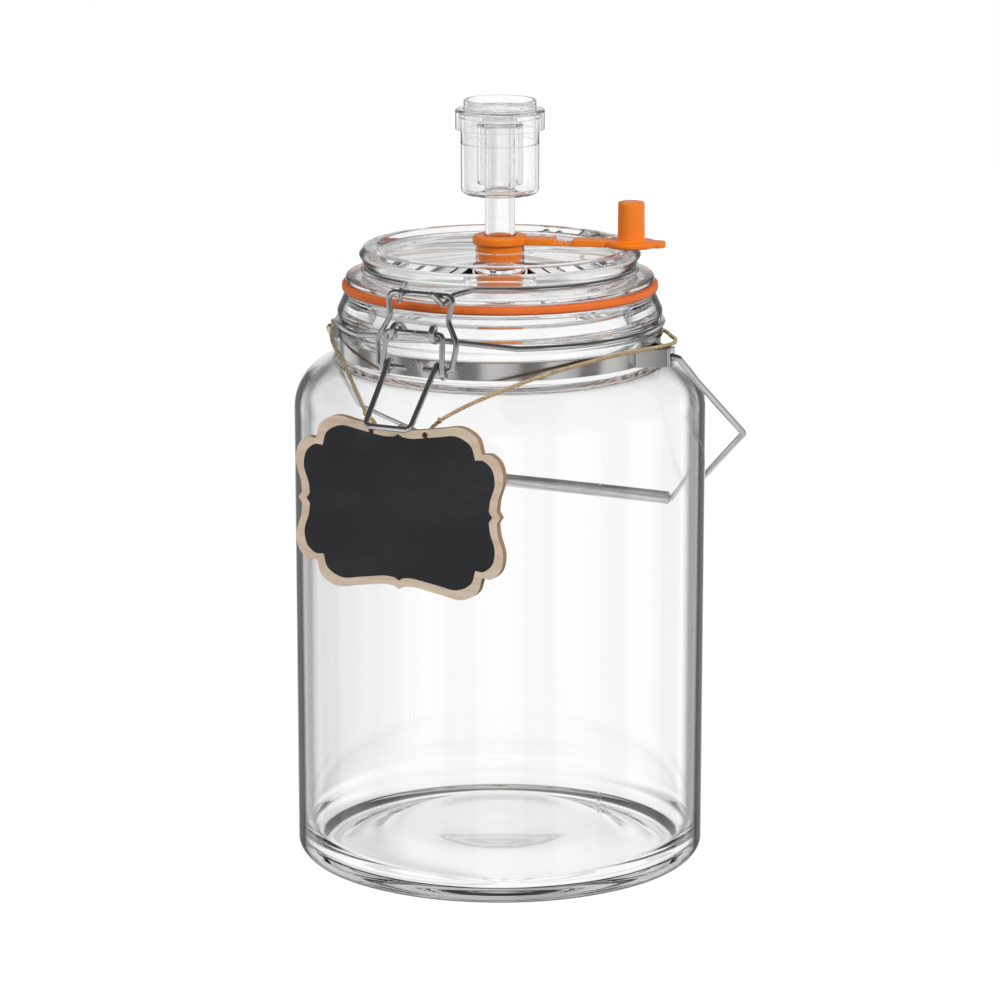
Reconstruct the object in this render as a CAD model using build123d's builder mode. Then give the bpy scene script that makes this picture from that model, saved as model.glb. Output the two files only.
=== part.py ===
from build123d import *
from math import acos, asin, atan, ceil, cos, degrees, hypot, pi, radians, sin, tan
import os

os.makedirs("parts", exist_ok=True)

# Fermentation jar of about one gallon with a clamp lid, an airlock and a hanging label, in millimetres.
# +Z is up, the latch and the label face -Y, and the origin is the middle of the base.

# Clearances and cuts
running_gap = 0.3
seat_gap = 0.1
overrun = 2

# How finely round stretches are drawn: chords in the glass's shoulder and in its corners, the rise
# of a bent wire's chords, the sides of a wire and of the twine, and chords in a curve of the plaque
shoulder_chords = 4
corner_chords = 2
chord_rise = 0.2
wire_sides = 8
twine_sides = 6
plaque_chords = 6

# Glass jar
jar_radius = 80
jar_height = 225
glass_wall = 3.5
heel_radius = 6.5
floor_thickness = 7
floor_corner_radius = 12
punt_inset = 24
punt_rise = 4.5
punt_foot_reach = 2
punt_top_inset = 8

# Neck, from the shoulder up to the lip
neck_radius = 61.6
neck_height = 26
neck_wall = 4.6
shoulder_tuck = 1.6
band_foot = 1.5
bead_depth = 1.6
bead_slope = 0.6
bead_height = 3.3
groove_height = 3.6
collar_depth = 1.4
collar_land = 1.2
lip_inset = 1.2
lip_land = 1.2

# Steel band with its seam, and the two ears that carry the handle
band_height = 7
band_thickness = 0.8
seam_place = -4
seam_slant = 3
seam_width = 0.4
ear_thickness = 1.2
ear_reach = 10.6
ear_land = 6
ear_spread = 21.2
ear_root_depth = 2.5
ear_bend_radius = 1.8

# Handle. Its widths are measured outwards from the corner beside each ear, its drops along the legs.
handle_wire = 2.6
handle_pin_stand = 2.3
handle_pin_length = 5.4
handle_bow = 2.6
handle_bow_drop = 17
handle_knuckle = 10.6
handle_knuckle_drop = 54
handle_grip_corner = 42.8
handle_length = 111.2
handle_pin_bend = 1.7
handle_bow_bend = 30
handle_knuckle_bend = 2.4
handle_grip_bend = 1.8
grip_radius = 2.6
grip_end_gap = 1.5

# Clamp wires: the latch turns at the neck wire's front eyes, the lid on its rear bar
clamp_wire = 2.2
eye_radius = 2.6
eye_bend = 2.4
pivot_reach = 10.9
pivot_drop = 5.5
hinge_reach = 8.4
hinge_drop = 0.5
neck_wire_rise = 2
neck_wire_end_angle = 35.5
neck_wire_run = 4
neck_wire_bend = 20
neck_eye_width = 9.2
neck_eye_pitch = 0.6
neck_tail_drop = 0.5
hinge_bar_width = 12.5
hinge_bar_step = 2.8
hinge_bar_run = 3.5
hinge_bar_bend = 2.4

# Gasket and lid glass
gasket_thickness = 2.7
gasket_width = 4.4
gasket_overhang = 0.8
gasket_chamfer = 0.6
flange_inset = 1.9
flange_height = 2.7
plug_gap = 0.8
plug_depth = 10.3
plug_wall = 4.7
plug_wall_taper = 2
plug_inner_rise = 1.7
dish_slope = 3.5
plate_rise = 11.7
plate_thickness = 4.2
channel_depth = 3.1
channel_lip = 1.4
channel_foot = 0.6
channel_height = 2.4
rim_under_inset = 1.9
rim_under_rise = 4.6
rim_inset = 5
rim_rise = 8
rim_height = 11
rim_bevel = 2.2
rim_top_width = 4
rim_inner_slope = 2.5
lid_hole_radius = 9.45

# Lid wire
lid_wire_rise = 2.6
hook_ring_angle = 18.8
hook_run = 3
hook_root_bend = 5
hook_neck_width = 11
hook_neck_reach = 4.8
hook_neck_drop = 0.4
hook_neck_bend = 4
hook_trough_width = 9.3
hook_trough_drop = 3.7
hook_bend = 2
hook_tip_width = 6.3
hook_tip_reach = 5
hook_tip_rise = 1.5
tongue_ring_angle = 167
tongue_run = 2.6
tongue_root_width = 8.6
tongue_root_reach = 8.7
tongue_root_drop = 0.7
tongue_bend = 2.4
tongue_width = 8.4
tongue_pitch = 0.625
tongue_lead_share = 1.35

# Latch lever and link. Widths are half widths, drops and reaches start at the lever's pivot.
lever_split = 0.2
lever_bar_width = 11.6
lever_coil_width = 12.6
lever_pitch = 0.85
lever_lead_share = 1.15
lever_exit_share = 0.54
lever_drop = 13.5
lever_tip_width = 9.3
lever_tip_reach = 22.8
lever_tip_drop = 18.4
lever_bend = 1.8
lever_tip_bend = 2.4
link_bar_reach = 5.4
link_bar_rise = 8.3
link_bar_width = 13.8
link_waist_width = 12
link_waist_share = 0.334
link_hip_width = 16.6
link_hip_share = 0.628
link_pin_width = 15.2
link_pin_end = 3.5
link_bar_bend = 2.6
link_waist_bend = 5
link_hip_bend = 7
link_pin_bend = 2

# Silicone grommet, and the stopper on its strap
grommet_fit = 0.1
grommet_tip_inset = 0.5
grommet_depth = 15.6
grommet_flange = 1.3
grommet_flange_height = 3.4
grommet_easing = 1
strap_angle = 17
strap_lift = 0.6
strap_pad_height = 2.6
strap_pad_width = 8
strap_thickness = 1.2
strap_width = 7
strap_root_end = 21.8
strap_split = 25.2
strap_pad_start = 28.6
stopper_reach = 51
stopper_disc_radius = 10
stopper_disc_height = 2.3
stopper_radius = 5.2
stopper_tip_chamfer = 0.6
stopper_height = 17.5
stopper_tab_reach = 13.3
stopper_tab_width = 7

# Airlock
stem_radius = 5.8
stem_wall = 1.5
stem_depth = 18
cup_rise = 20
cup_radius = 15.15
cup_height = 31.5
cup_wall = 1.3
cup_corner = 1.8
cup_bead = 0.6
cup_bead_height = 1.8
tube_headroom = 5
float_gap = 1.65
float_wall = 1.3
float_roof = 1.2
float_base_gap = 2.7
float_notches = 4
float_notch_width = 2
float_notch_height = 1.5
cap_skirt_wall = 1.2
cap_skirt_drop = 6.8
cap_disc_thickness = 1.2
cap_collar_radius = 14
cap_collar_wall = 1.2
cap_collar_height = 3.5
cap_vents = 4
cap_vent_radius = 1
cap_vent_ring = 9.6

# Label: a plywood plaque with a slate-black face
board_width = 87
board_height = 65.6
board_thickness = 3
board_middle = -1
board_gap = 1.5
face_depth = 0.6
face_border = 3.6
hole_radius = 1.25
hole_spread = 22.5
hole_drop = 4.3

# One quarter of the plaque's outline, as shares of half its width and half its height: the curve
# along the top, the curve down the side, and the small points in the middle of each.
top_curve_shares = [(0.05, 0.92), (0.16, 0.915), (0.4, 0.965), (0.6, 1.0), (0.75, 0.9), (0.8, 0.716)]
side_curve_shares = [(0.8, 0.716), (0.89, 0.715), (0.975, 0.61), (1.0, 0.42), (0.953, 0.21), (0.94, 0.07)]
top_point_share = 0.957
side_point_share = 0.975

# Twine, and the ties that the label swings on
twine_diameter = 1.6
tie_spread = 31
tie_sag = 0.7
tie_rise = 1.1
tie_knot_radius = 1.1
tie_back_gap = 0.25
tail_bend = 1.3
tail_depth = 1.5
bend_share = 0.45

# Where the twine passes: across, depth, and drop below the jar's lip.
twine_spots = [
    (15.5, -79.6, 35.3),
    (20.1, -75.9, 32.1),
    (29.4, -66.6, 27.4),
    (39.9, -55.1, 22.8),
    (51.4, -40.4, 19.0),
    (61.9, -23.0, 16.8),
    (69.4, -10.0, 16.1),
    (73.4, 1.2, 16.0),
    (69.2, 12.0, 16.2),
    (62.2, 23.6, 17.8),
    (52.2, 40.6, 19.0),
    (33.1, 57.5, 19.4),
    (7.8, 66.0, 19.2),
    (-19.3, 63.4, 19.4),
    (-43.0, 50.4, 19.0),
    (-59.8, 30.2, 17.4),
    (-66.6, 9.6, 15.9),
    (-66.8, -9.4, 16.0),
    (-60.2, -26.6, 17.6),
    (-51.0, -42.0, 19.4),
    (-40.4, -53.6, 22.2),
    (-31.0, -65.0, 27.4),
    (-22.2, -74.4, 32.4),
    (-17.5, -79.5, 35.3),
]

# Places that follow from the sizes above: glass, band, ears and handle
inner_radius = jar_radius - glass_wall
mouth_radius = neck_radius - neck_wall
punt_radius = jar_radius - punt_inset
neck_base = jar_height - neck_height
shoulder_radius = jar_radius - neck_radius + shoulder_tuck
shoulder_turn = degrees(acos(shoulder_tuck / shoulder_radius))
shoulder_centre = jar_radius - shoulder_radius
shoulder_base = neck_base - shoulder_radius * sin(radians(shoulder_turn))
inner_shoulder_radius = shoulder_radius - glass_wall
throat_height = shoulder_base + inner_shoulder_radius
punt_floor = floor_thickness + punt_rise
band_base = neck_base + band_foot
band_top = band_base + band_height
band_radius = neck_radius + seat_gap + band_thickness
bead_base = band_top + seat_gap
bead_top = bead_base + bead_height
groove_top = bead_top + groove_height
collar_base = groove_top + collar_depth
collar_radius = neck_radius + collar_depth
lip_radius = neck_radius - lip_inset
ear_outer = band_radius + ear_reach
ear_root = band_radius - ear_root_depth
handle_radius = handle_wire / 2
handle_height = band_base + band_height / 2
handle_pin_corner = ear_outer + handle_pin_stand
grip_reach = jar_radius + running_gap + grip_radius
handle_turn = asin(grip_reach / handle_length)
grip_height = handle_height - handle_length * cos(handle_turn)
handle_plane = Plane(
    origin=(0, 0, handle_height), x_dir=(1, 0, 0), z_dir=(0, cos(handle_turn), sin(handle_turn))
)

# Lid and gasket
gasket_radius = lip_radius + gasket_overhang
gasket_base = jar_height + running_gap
gasket_top = gasket_base + gasket_thickness
lid_base = gasket_top + running_gap
flange_radius = neck_radius - flange_inset
flange_top = lid_base + flange_height
plug_radius = mouth_radius - plug_gap
plug_inner_radius = plug_radius - plug_wall - plug_wall_taper
plate_top = lid_base + plate_rise
plate_base = plate_top - plate_thickness
lid_top = flange_top + rim_height
rim_radius = flange_radius - rim_inset
rim_under_radius = rim_radius - rim_under_inset
channel_radius = rim_radius - channel_depth
rim_top_radius = rim_radius - rim_bevel
rim_inner_radius = rim_top_radius - rim_top_width

# Clamp wires
clamp_radius = clamp_wire / 2
pivot_radius = neck_radius + pivot_reach
pivot_height = jar_height - pivot_drop
hinge_radius = neck_radius + hinge_reach
hinge_height = jar_height - hinge_drop
neck_wire_radius = neck_radius + seat_gap + chord_rise + clamp_radius
neck_wire_height = bead_top + neck_wire_rise
lid_wire_radius = channel_radius + seat_gap + chord_rise + clamp_radius
lid_wire_height = flange_top + lid_wire_rise
link_pin_height = pivot_height - lever_drop
bar_reach = neck_radius + link_bar_reach
bar_height = jar_height + link_bar_rise
link_length = hypot(pivot_radius - bar_reach, bar_height - link_pin_height)
link_lean = atan((pivot_radius - bar_reach) / (bar_height - link_pin_height))
link_plane = Plane(
    origin=(0, -bar_reach, bar_height), x_dir=(1, 0, 0), z_dir=(0, cos(link_lean), -sin(link_lean))
)

# Grommet, stopper and airlock
strap_gap = running_gap / 2
strap_base = lid_top + strap_lift
strap_turn = radians(strap_angle)
strap_plane = Plane(origin=(0, 0, strap_base), x_dir=(cos(strap_turn), sin(strap_turn), 0), z_dir=(0, 0, 1))
grommet_radius = lid_hole_radius - grommet_fit
grommet_tip_radius = grommet_radius - grommet_tip_inset
grommet_flange_radius = grommet_radius + grommet_flange
stem_bore_radius = stem_radius - stem_wall
cup_base = lid_top + cup_rise
cup_top = cup_base + cup_height
tube_top = cup_top - tube_headroom
float_radius = stem_radius + float_gap + float_wall
float_base = cup_base + cup_wall + float_base_gap
float_height = tube_top + running_gap + float_roof - float_base
notch_start = 360 / float_notches / 2
cap_base = cup_top + running_gap
cap_disc_top = cap_base + cap_disc_thickness
cap_skirt_radius = cup_radius + cup_bead + running_gap + cap_skirt_wall

# Twine, and the label that hangs from its ends
twine_points = [(across, depth, jar_height - drop) for across, depth, drop in twine_spots]
twine_radius = twine_diameter / 2
tie_height = twine_points[0][2] - tie_sag
board_rise = tie_height - tie_rise - board_height / 2
board_back = jar_radius + board_gap
board_plane = Plane(origin=(board_middle, -board_back, board_rise), x_dir=(1, 0, 0), z_dir=(0, -1, 0))
hole_rise = board_height / 2 - hole_drop
face_width = board_width - 2 * face_border
face_height = board_height - 2 * face_border
tie_reach = board_back - twine_radius - tie_back_gap


# A point a run past the end of a ring, straight along its tangent. The angle starts at the front.
def past_ring(radius, angle, height, run):
    turn = radians(angle)
    return (radius * sin(turn) + run * cos(turn), -radius * cos(turn) + run * sin(turn), height)


# The corners of a coil round a bar along X, each a pitch further in than the last. A corner is
# given by its sides in Y and Z, as shares of the eye's radius.
def coil(width, pitch, reach, height, side_shares):
    return [
        (width - pitch * step, reach + eye_radius * across, height + eye_radius * up)
        for step, (across, up) in enumerate(side_shares)
    ]


# The corners of an arc in a section, drawn with chords.
def arc_points(across, up, radius, start, turn, chords):
    steps = round(chords)
    angles = [radians(start + turn * step / steps) for step in range(steps + 1)]
    return [(across + radius * cos(angle), up + radius * sin(angle)) for angle in angles]


# The corners of a bent wire's route, each bend and ring drawn with chords of about the same rise.
def chorded(route):
    path = route.wire()
    corners = [path @ 0]
    reached = 0
    for edge in path.order_edges():
        steps = 1
        if edge.geom_type != GeomType.LINE:
            steps = ceil(edge.length / edge.radius / (2 * acos(1 - chord_rise / edge.radius)))
        for step in range(1, steps + 1):
            place = reached + edge.length * step / steps
            corners.append(path.position_at(place, position_mode=PositionMode.LENGTH))
        reached += edge.length
    return corners


# The plane square to a route's start, for the section of a wire.
def start_of(route):
    path = route.wire()
    return Plane(origin=path @ 0, z_dir=path % 0)


# Points along a smooth curve through a few given points.
def curve_points(through):
    curve = Edge.make_spline([Vector(point) for point in through])
    steps = round(plaque_chords)
    return [curve @ (step / steps) for step in range(steps + 1)]


# A scalloped plaque, drawn as one quarter and mirrored twice.
def plaque(width, height):
    half_width = width / 2
    half_height = height / 2
    top_curve = [(half_width * across, half_height * up) for across, up in top_curve_shares]
    side_curve = [(half_width * across, half_height * up) for across, up in side_curve_shares]
    with BuildSketch() as outline:
        with BuildLine() as quarter:
            Line((0, half_height * top_point_share), top_curve[0])
            Polyline(*curve_points(top_curve))
            Polyline(*curve_points(side_curve))
            Line(side_curve[-1], (half_width * side_point_share, 0))
            mirror(about=Plane.YZ)
            mirror(about=Plane.XZ)
        make_face()
    return outline.sketch


# Ends and eyes of the two rings, and the lever's coil
neck_eye = coil(
    neck_eye_width, neck_eye_pitch, -pivot_radius, pivot_height, [(1, -1), (-1, -1), (-1, 1), (1, 1)]
)
neck_tail = (
    neck_eye_width - neck_eye_pitch * len(neck_eye),
    eye_radius - pivot_radius,
    pivot_height - neck_tail_drop,
)
neck_rear_angle = 90 + degrees(acos((hinge_bar_width + hinge_bar_run) / neck_wire_radius))
neck_front = past_ring(neck_wire_radius, neck_wire_end_angle, neck_wire_height, 0)
neck_rear = past_ring(neck_wire_radius, neck_rear_angle, neck_wire_height, 0)
lid_ring_front = past_ring(lid_wire_radius, hook_ring_angle, lid_wire_height, 0)
lid_ring_rear = past_ring(lid_wire_radius, tongue_ring_angle, lid_wire_height, 0)
tongue_eye = coil(
    tongue_width,
    tongue_pitch,
    hinge_radius,
    hinge_height,
    [(-tongue_lead_share, 1), (1, 1), (1, -1), (-1, -1), (-1, 1)],
)
lever_coil = coil(
    lever_coil_width,
    lever_pitch,
    -pivot_radius,
    link_pin_height,
    [(-lever_lead_share, -1), (1, -1), (1, 1), (-lever_exit_share, 1)],
)

# Glass jar: a punted base, a straight wall, a round shoulder and a neck with a bead, a groove and a collar.
with BuildPart() as jar_body:
    with BuildSketch(Plane.XZ):
        with BuildLine():
            Polyline(
                (0, punt_rise),
                (punt_radius, punt_rise),
                (punt_radius + punt_rise, 0),
                *arc_points(jar_radius - heel_radius, heel_radius, heel_radius, -90, 90, corner_chords),
                *arc_points(
                    shoulder_centre, shoulder_base, shoulder_radius, 0, shoulder_turn, shoulder_chords
                ),
                (neck_radius, bead_base),
                (neck_radius + bead_depth, bead_base),
                (neck_radius + bead_depth, bead_top - bead_slope),
                (neck_radius, bead_top),
                (neck_radius, groove_top),
                (collar_radius, collar_base),
                (collar_radius, collar_base + collar_land),
                (lip_radius, jar_height - lip_land),
                (lip_radius, jar_height),
                (mouth_radius, jar_height),
                (mouth_radius, throat_height),
                *arc_points(
                    shoulder_centre, shoulder_base, inner_shoulder_radius, 90, -90, shoulder_chords
                ),
                *arc_points(
                    inner_radius - floor_corner_radius,
                    floor_thickness + floor_corner_radius,
                    floor_corner_radius,
                    0,
                    -90,
                    corner_chords,
                ),
                (punt_radius + punt_foot_reach, floor_thickness),
                (punt_radius - punt_top_inset, punt_floor),
                (0, punt_floor),
                close=True,
            )
        make_face()
    revolve(axis=Axis.Z)
jar_body.part.label = "jar_body"
export_step(jar_body.part, "parts/jar_body.step")

# Band round the neck, closed by a slanted seam at the front.
with BuildPart() as neck_band:
    with BuildSketch(Plane.XY.offset(band_base)):
        Circle(band_radius)
        Circle(band_radius - band_thickness, mode=Mode.SUBTRACT)
    extrude(amount=band_height)
    with BuildSketch(Plane.XZ.offset(band_radius + overrun)):
        with BuildLine():
            Polyline(
                (seam_place + seam_slant / 2, band_base - overrun),
                (seam_place + seam_slant / 2 + seam_width, band_base - overrun),
                (seam_place - seam_slant / 2 + seam_width, band_top + overrun),
                (seam_place - seam_slant / 2, band_top + overrun),
                close=True,
            )
        make_face()
    extrude(amount=-band_thickness - 2 * overrun, mode=Mode.SUBTRACT)
neck_band.part.label = "neck_band"
export_step(neck_band.part, "parts/neck_band.step")

# Ears: a strap bent to a blunt triangle on each side, with a hole for the handle's pin.
for side, name in ((-1, "band_ear_left"), (1, "band_ear_right")):
    with BuildPart() as ear:
        with BuildSketch(Plane.XY.offset(band_base)):
            with BuildLine():
                FilletPolyline(
                    (side * ear_root, -ear_spread / 2),
                    (side * ear_outer, -ear_land / 2),
                    (side * ear_outer, ear_land / 2),
                    (side * ear_root, ear_spread / 2),
                    radius=[0, ear_bend_radius, ear_bend_radius, 0],
                    close=True,
                )
            make_face()
            offset(amount=-ear_thickness, mode=Mode.SUBTRACT)
            Circle(band_radius + seat_gap, mode=Mode.SUBTRACT)
        extrude(amount=band_height)
        with BuildSketch(Plane.YZ.offset(side * band_radius)):
            with Locations((0, handle_height)):
                Circle(handle_radius + running_gap)
        extrude(amount=side * (ear_reach + overrun), mode=Mode.SUBTRACT)
    ear.part.label = name
    export_step(ear.part, f"parts/{name}.step")

# Neck wire: a ring in the groove, open at the front, where each end winds into an eye for the
# latch, and stepped out at the back into the bar that the lid hinges on.
with BuildLine() as neck_route:
    FilletPolyline(
        neck_tail,
        *reversed(neck_eye),
        past_ring(neck_wire_radius, neck_wire_end_angle, neck_wire_height, -neck_wire_run),
        neck_front,
        radius=[eye_bend] * len(neck_eye) + [neck_wire_bend],
    )
    ThreePointArc(neck_front, past_ring(neck_wire_radius, 90, neck_wire_height, 0), neck_rear)
    FilletPolyline(
        neck_rear,
        past_ring(neck_wire_radius, neck_rear_angle, neck_wire_height, hinge_bar_run),
        (hinge_bar_width, hinge_radius, neck_wire_height + hinge_bar_step),
        (hinge_bar_width, hinge_radius, hinge_height),
        (0, hinge_radius, hinge_height),
        radius=hinge_bar_bend,
    )
with BuildPart() as neck_wire:
    with BuildLine() as neck_path:
        Polyline(*chorded(neck_route))
    with BuildSketch(start_of(neck_path)):
        RegularPolygon(clamp_radius, round(wire_sides))
    sweep(transition=Transition.RIGHT)
    mirror(about=Plane.YZ)
neck_wire.part.label = "neck_wire"
export_step(neck_wire.part, "parts/neck_wire.step")

# Handle: a wire bail that hangs from the ears behind the jar, wide at its knuckles and narrow at its grip.
with BuildLine(handle_plane) as handle_route:
    FilletPolyline(
        (handle_pin_corner - handle_pin_length, 0),
        (handle_pin_corner, 0),
        (handle_pin_corner + handle_bow, handle_bow_drop),
        (handle_pin_corner + handle_knuckle, handle_knuckle_drop),
        (handle_grip_corner, handle_length),
        (0, handle_length),
        radius=[handle_pin_bend, handle_bow_bend, handle_knuckle_bend, handle_grip_bend],
    )
with BuildPart() as handle_bail:
    with BuildLine() as handle_path:
        Polyline(*chorded(handle_route))
    with BuildSketch(start_of(handle_path)):
        RegularPolygon(handle_radius, round(wire_sides))
    sweep(transition=Transition.RIGHT)
    mirror(about=Plane.YZ)
handle_bail.part.label = "handle_bail"
export_step(handle_bail.part, "parts/handle_bail.step")

# Grip: a steel tube that turns on the straight of the handle.
with BuildPart() as handle_grip:
    with BuildSketch(Plane.YZ.offset(grip_end_gap - handle_grip_corner)):
        with Locations((grip_reach, grip_height)):
            Circle(grip_radius)
            Circle(handle_radius + running_gap, mode=Mode.SUBTRACT)
    extrude(amount=2 * (handle_grip_corner - grip_end_gap))
handle_grip.part.label = "handle_grip"
export_step(handle_grip.part, "parts/handle_grip.step")

# Gasket: a flat rubber ring between the lip and the lid, its outer edges eased.
with BuildPart() as lid_gasket:
    with BuildSketch(Plane.XZ) as gasket_section:
        with Locations((gasket_radius - gasket_width / 2, gasket_base + gasket_thickness / 2)):
            Rectangle(gasket_width, gasket_thickness)
        chamfer(gasket_section.vertices().group_by(Axis.X)[-1], gasket_chamfer)
    revolve(axis=Axis.Z)
lid_gasket.part.label = "lid_gasket"
export_step(lid_gasket.part, "parts/lid_gasket.step")

# Lid glass: a flange on the gasket, a hollow plug below, a raised rim with a channel for the lid
# wire, and a plate with the hole for the airlock's grommet.
with BuildPart() as lid_glass:
    with BuildSketch(Plane.XZ):
        with BuildLine():
            Polyline(
                (lid_hole_radius, plate_base),
                (lid_hole_radius, plate_top),
                (rim_inner_radius - rim_inner_slope, plate_top),
                (rim_inner_radius, lid_top),
                (rim_top_radius, lid_top),
                (rim_radius, flange_top + rim_rise),
                (rim_under_radius, flange_top + rim_under_rise),
                (channel_radius, flange_top + channel_foot + channel_height),
                (channel_radius, flange_top + channel_foot),
                (channel_radius + channel_lip, flange_top + channel_foot),
                (flange_radius, flange_top),
                (flange_radius, lid_base),
                (plug_radius, lid_base),
                (plug_radius, lid_base - plug_depth),
                (plug_inner_radius + plug_wall_taper, lid_base - plug_depth),
                (plug_inner_radius, lid_base + plug_inner_rise),
                (plug_inner_radius - dish_slope, plate_base),
                close=True,
            )
        make_face()
    revolve(axis=Axis.Z)
lid_glass.part.label = "lid_glass"
export_step(lid_glass.part, "parts/lid_glass.step")

# Lid wire: a ring in the lid's channel, with two hooks at the front for the latch and a tongue at
# the back that is wound round the hinge bar on both sides.
with BuildLine() as lid_route:
    FilletPolyline(
        (hook_tip_width, -bar_reach - hook_tip_reach, bar_height + hook_tip_rise),
        (hook_trough_width, -bar_reach, bar_height - hook_trough_drop),
        (hook_neck_width, hook_neck_reach - bar_reach, bar_height - hook_neck_drop),
        past_ring(lid_wire_radius, hook_ring_angle, lid_wire_height, -hook_run),
        lid_ring_front,
        radius=[hook_bend, hook_neck_bend, hook_root_bend],
    )
    ThreePointArc(lid_ring_front, past_ring(lid_wire_radius, 90, lid_wire_height, 0), lid_ring_rear)
    FilletPolyline(
        lid_ring_rear,
        past_ring(lid_wire_radius, tongue_ring_angle, lid_wire_height, tongue_run),
        (tongue_root_width, hinge_radius - tongue_root_reach, lid_wire_height - tongue_root_drop),
        *tongue_eye,
        (0, hinge_radius - eye_radius, hinge_height + eye_radius),
        radius=[eye_bend, tongue_bend] + [eye_bend] * len(tongue_eye),
    )
with BuildPart() as lid_wire:
    with BuildLine() as lid_path:
        Polyline(*chorded(lid_route))
    with BuildSketch(start_of(lid_path)):
        RegularPolygon(clamp_radius, round(wire_sides))
    sweep(transition=Transition.RIGHT)
    mirror(about=Plane.YZ)
lid_wire.part.label = "lid_wire"
export_step(lid_wire.part, "parts/lid_wire.step")

# Latch lever: one wire that turns in the neck wire's eyes, winds round the link's pins and runs
# down to a finger loop. Its ends meet in the middle of the bar.
with BuildLine() as lever_route:
    FilletPolyline(
        (lever_split, -pivot_radius, pivot_height),
        (lever_bar_width, -pivot_radius, pivot_height),
        *lever_coil,
        (lever_tip_width, -pivot_radius - lever_tip_reach, link_pin_height - lever_tip_drop),
        (0, -pivot_radius - lever_tip_reach, link_pin_height - lever_tip_drop),
        radius=[lever_bend] + [eye_bend] * len(lever_coil) + [lever_tip_bend],
    )
with BuildPart() as latch_lever:
    with BuildLine() as lever_path:
        Polyline(*chorded(lever_route))
    with BuildSketch(start_of(lever_path)):
        RegularPolygon(clamp_radius, round(wire_sides))
    sweep(transition=Transition.RIGHT)
    mirror(about=Plane.YZ)
latch_lever.part.label = "latch_lever"
export_step(latch_lever.part, "parts/latch_lever.step")

# Latch link: a bowed loop whose bar lies in the lid wire's hooks and whose pins turn in the lever's coils.
with BuildLine(link_plane) as link_route:
    FilletPolyline(
        (0, 0),
        (link_bar_width, 0),
        (link_waist_width, link_waist_share * link_length),
        (link_hip_width, link_hip_share * link_length),
        (link_pin_width, link_length),
        (link_pin_end, link_length),
        radius=[link_bar_bend, link_waist_bend, link_hip_bend, link_pin_bend],
    )
with BuildPart() as latch_link:
    with BuildLine() as link_path:
        Polyline(*chorded(link_route))
    with BuildSketch(start_of(link_path)):
        RegularPolygon(clamp_radius, round(wire_sides))
    sweep(transition=Transition.RIGHT)
    mirror(about=Plane.YZ)
latch_link.part.label = "latch_link"
export_step(latch_link.part, "parts/latch_link.step")

# Grommet: a silicone bung in the lid's hole with a bore for the airlock's stem, and the root half
# of the strap that keeps the stopper.
with BuildPart() as stopper_grommet:
    with BuildSketch(Plane.XZ) as grommet_section:
        with BuildLine():
            Polyline(
                (stem_radius + running_gap, strap_base - grommet_depth),
                (grommet_tip_radius, strap_base - grommet_depth),
                (grommet_radius, strap_base),
                (grommet_flange_radius, strap_base),
                (grommet_flange_radius, strap_base + grommet_flange_height),
                (stem_radius + running_gap, strap_base + grommet_flange_height),
                close=True,
            )
        make_face()
        chamfer(grommet_section.vertices().sort_by(Axis.Y)[-1], grommet_easing)
    revolve(axis=Axis.Z)
    with BuildSketch(strap_plane):
        with Locations((grommet_radius, 0)):
            Rectangle(strap_root_end - grommet_radius, strap_pad_width, align=(Align.MIN, Align.CENTER))
    extrude(amount=strap_pad_height)
    with BuildSketch(strap_plane):
        with Locations((strap_root_end, 0)):
            Rectangle(strap_split - strap_gap - strap_root_end, strap_width, align=(Align.MIN, Align.CENTER))
    extrude(amount=strap_thickness)
stopper_grommet.part.label = "stopper_grommet"
export_step(stopper_grommet.part, "parts/stopper_grommet.step")

# Stopper: the loose half of the strap, a disc over the lid's rim and the stub that closes the bore
# when the airlock is out.
with BuildPart() as stopper_plug:
    with BuildSketch(strap_plane):
        with Locations((strap_split + strap_gap, 0)):
            Rectangle(
                strap_pad_start - strap_split - strap_gap, strap_width, align=(Align.MIN, Align.CENTER)
            )
    extrude(amount=strap_thickness)
    with BuildSketch(strap_plane):
        with Locations((strap_pad_start, 0)):
            Rectangle(stopper_reach - strap_pad_start, strap_pad_width, align=(Align.MIN, Align.CENTER))
    extrude(amount=strap_pad_height)
    with BuildSketch(strap_plane):
        with Locations((stopper_reach, 0)):
            Circle(stopper_disc_radius)
            Rectangle(stopper_tab_reach, stopper_tab_width, align=(Align.MIN, Align.CENTER))
    extrude(amount=stopper_disc_height)
    with BuildSketch(strap_plane):
        with Locations((stopper_reach, 0)):
            Circle(stopper_radius)
    extrude(amount=stopper_height)
    chamfer(stopper_plug.edges().group_by(Axis.Z)[-1], stopper_tip_chamfer)
stopper_plug.part.label = "stopper_plug"
export_step(stopper_plug.part, "parts/stopper_plug.step")

# Airlock cup: the stem, the cup that holds the water and the inner tube that rises above it.
with BuildPart() as airlock_cup:
    with BuildSketch(Plane.XZ):
        with BuildLine():
            Polyline(
                (stem_bore_radius, plate_top - stem_depth),
                (stem_radius, plate_top - stem_depth),
                (stem_radius, cup_base),
                (cup_radius - cup_corner, cup_base),
                (cup_radius, cup_base + cup_corner),
                (cup_radius, cup_top - cup_bead_height),
                (cup_radius + cup_bead, cup_top - cup_bead_height),
                (cup_radius + cup_bead, cup_top),
                (cup_radius - cup_wall, cup_top),
                (cup_radius - cup_wall, cup_base + cup_corner),
                (cup_radius - cup_corner, cup_base + cup_wall),
                (stem_radius, cup_base + cup_wall),
                (stem_radius, tube_top),
                (stem_bore_radius, tube_top),
                close=True,
            )
        make_face()
    revolve(axis=Axis.Z)
airlock_cup.part.label = "airlock_cup"
export_step(airlock_cup.part, "parts/airlock_cup.step")

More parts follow.
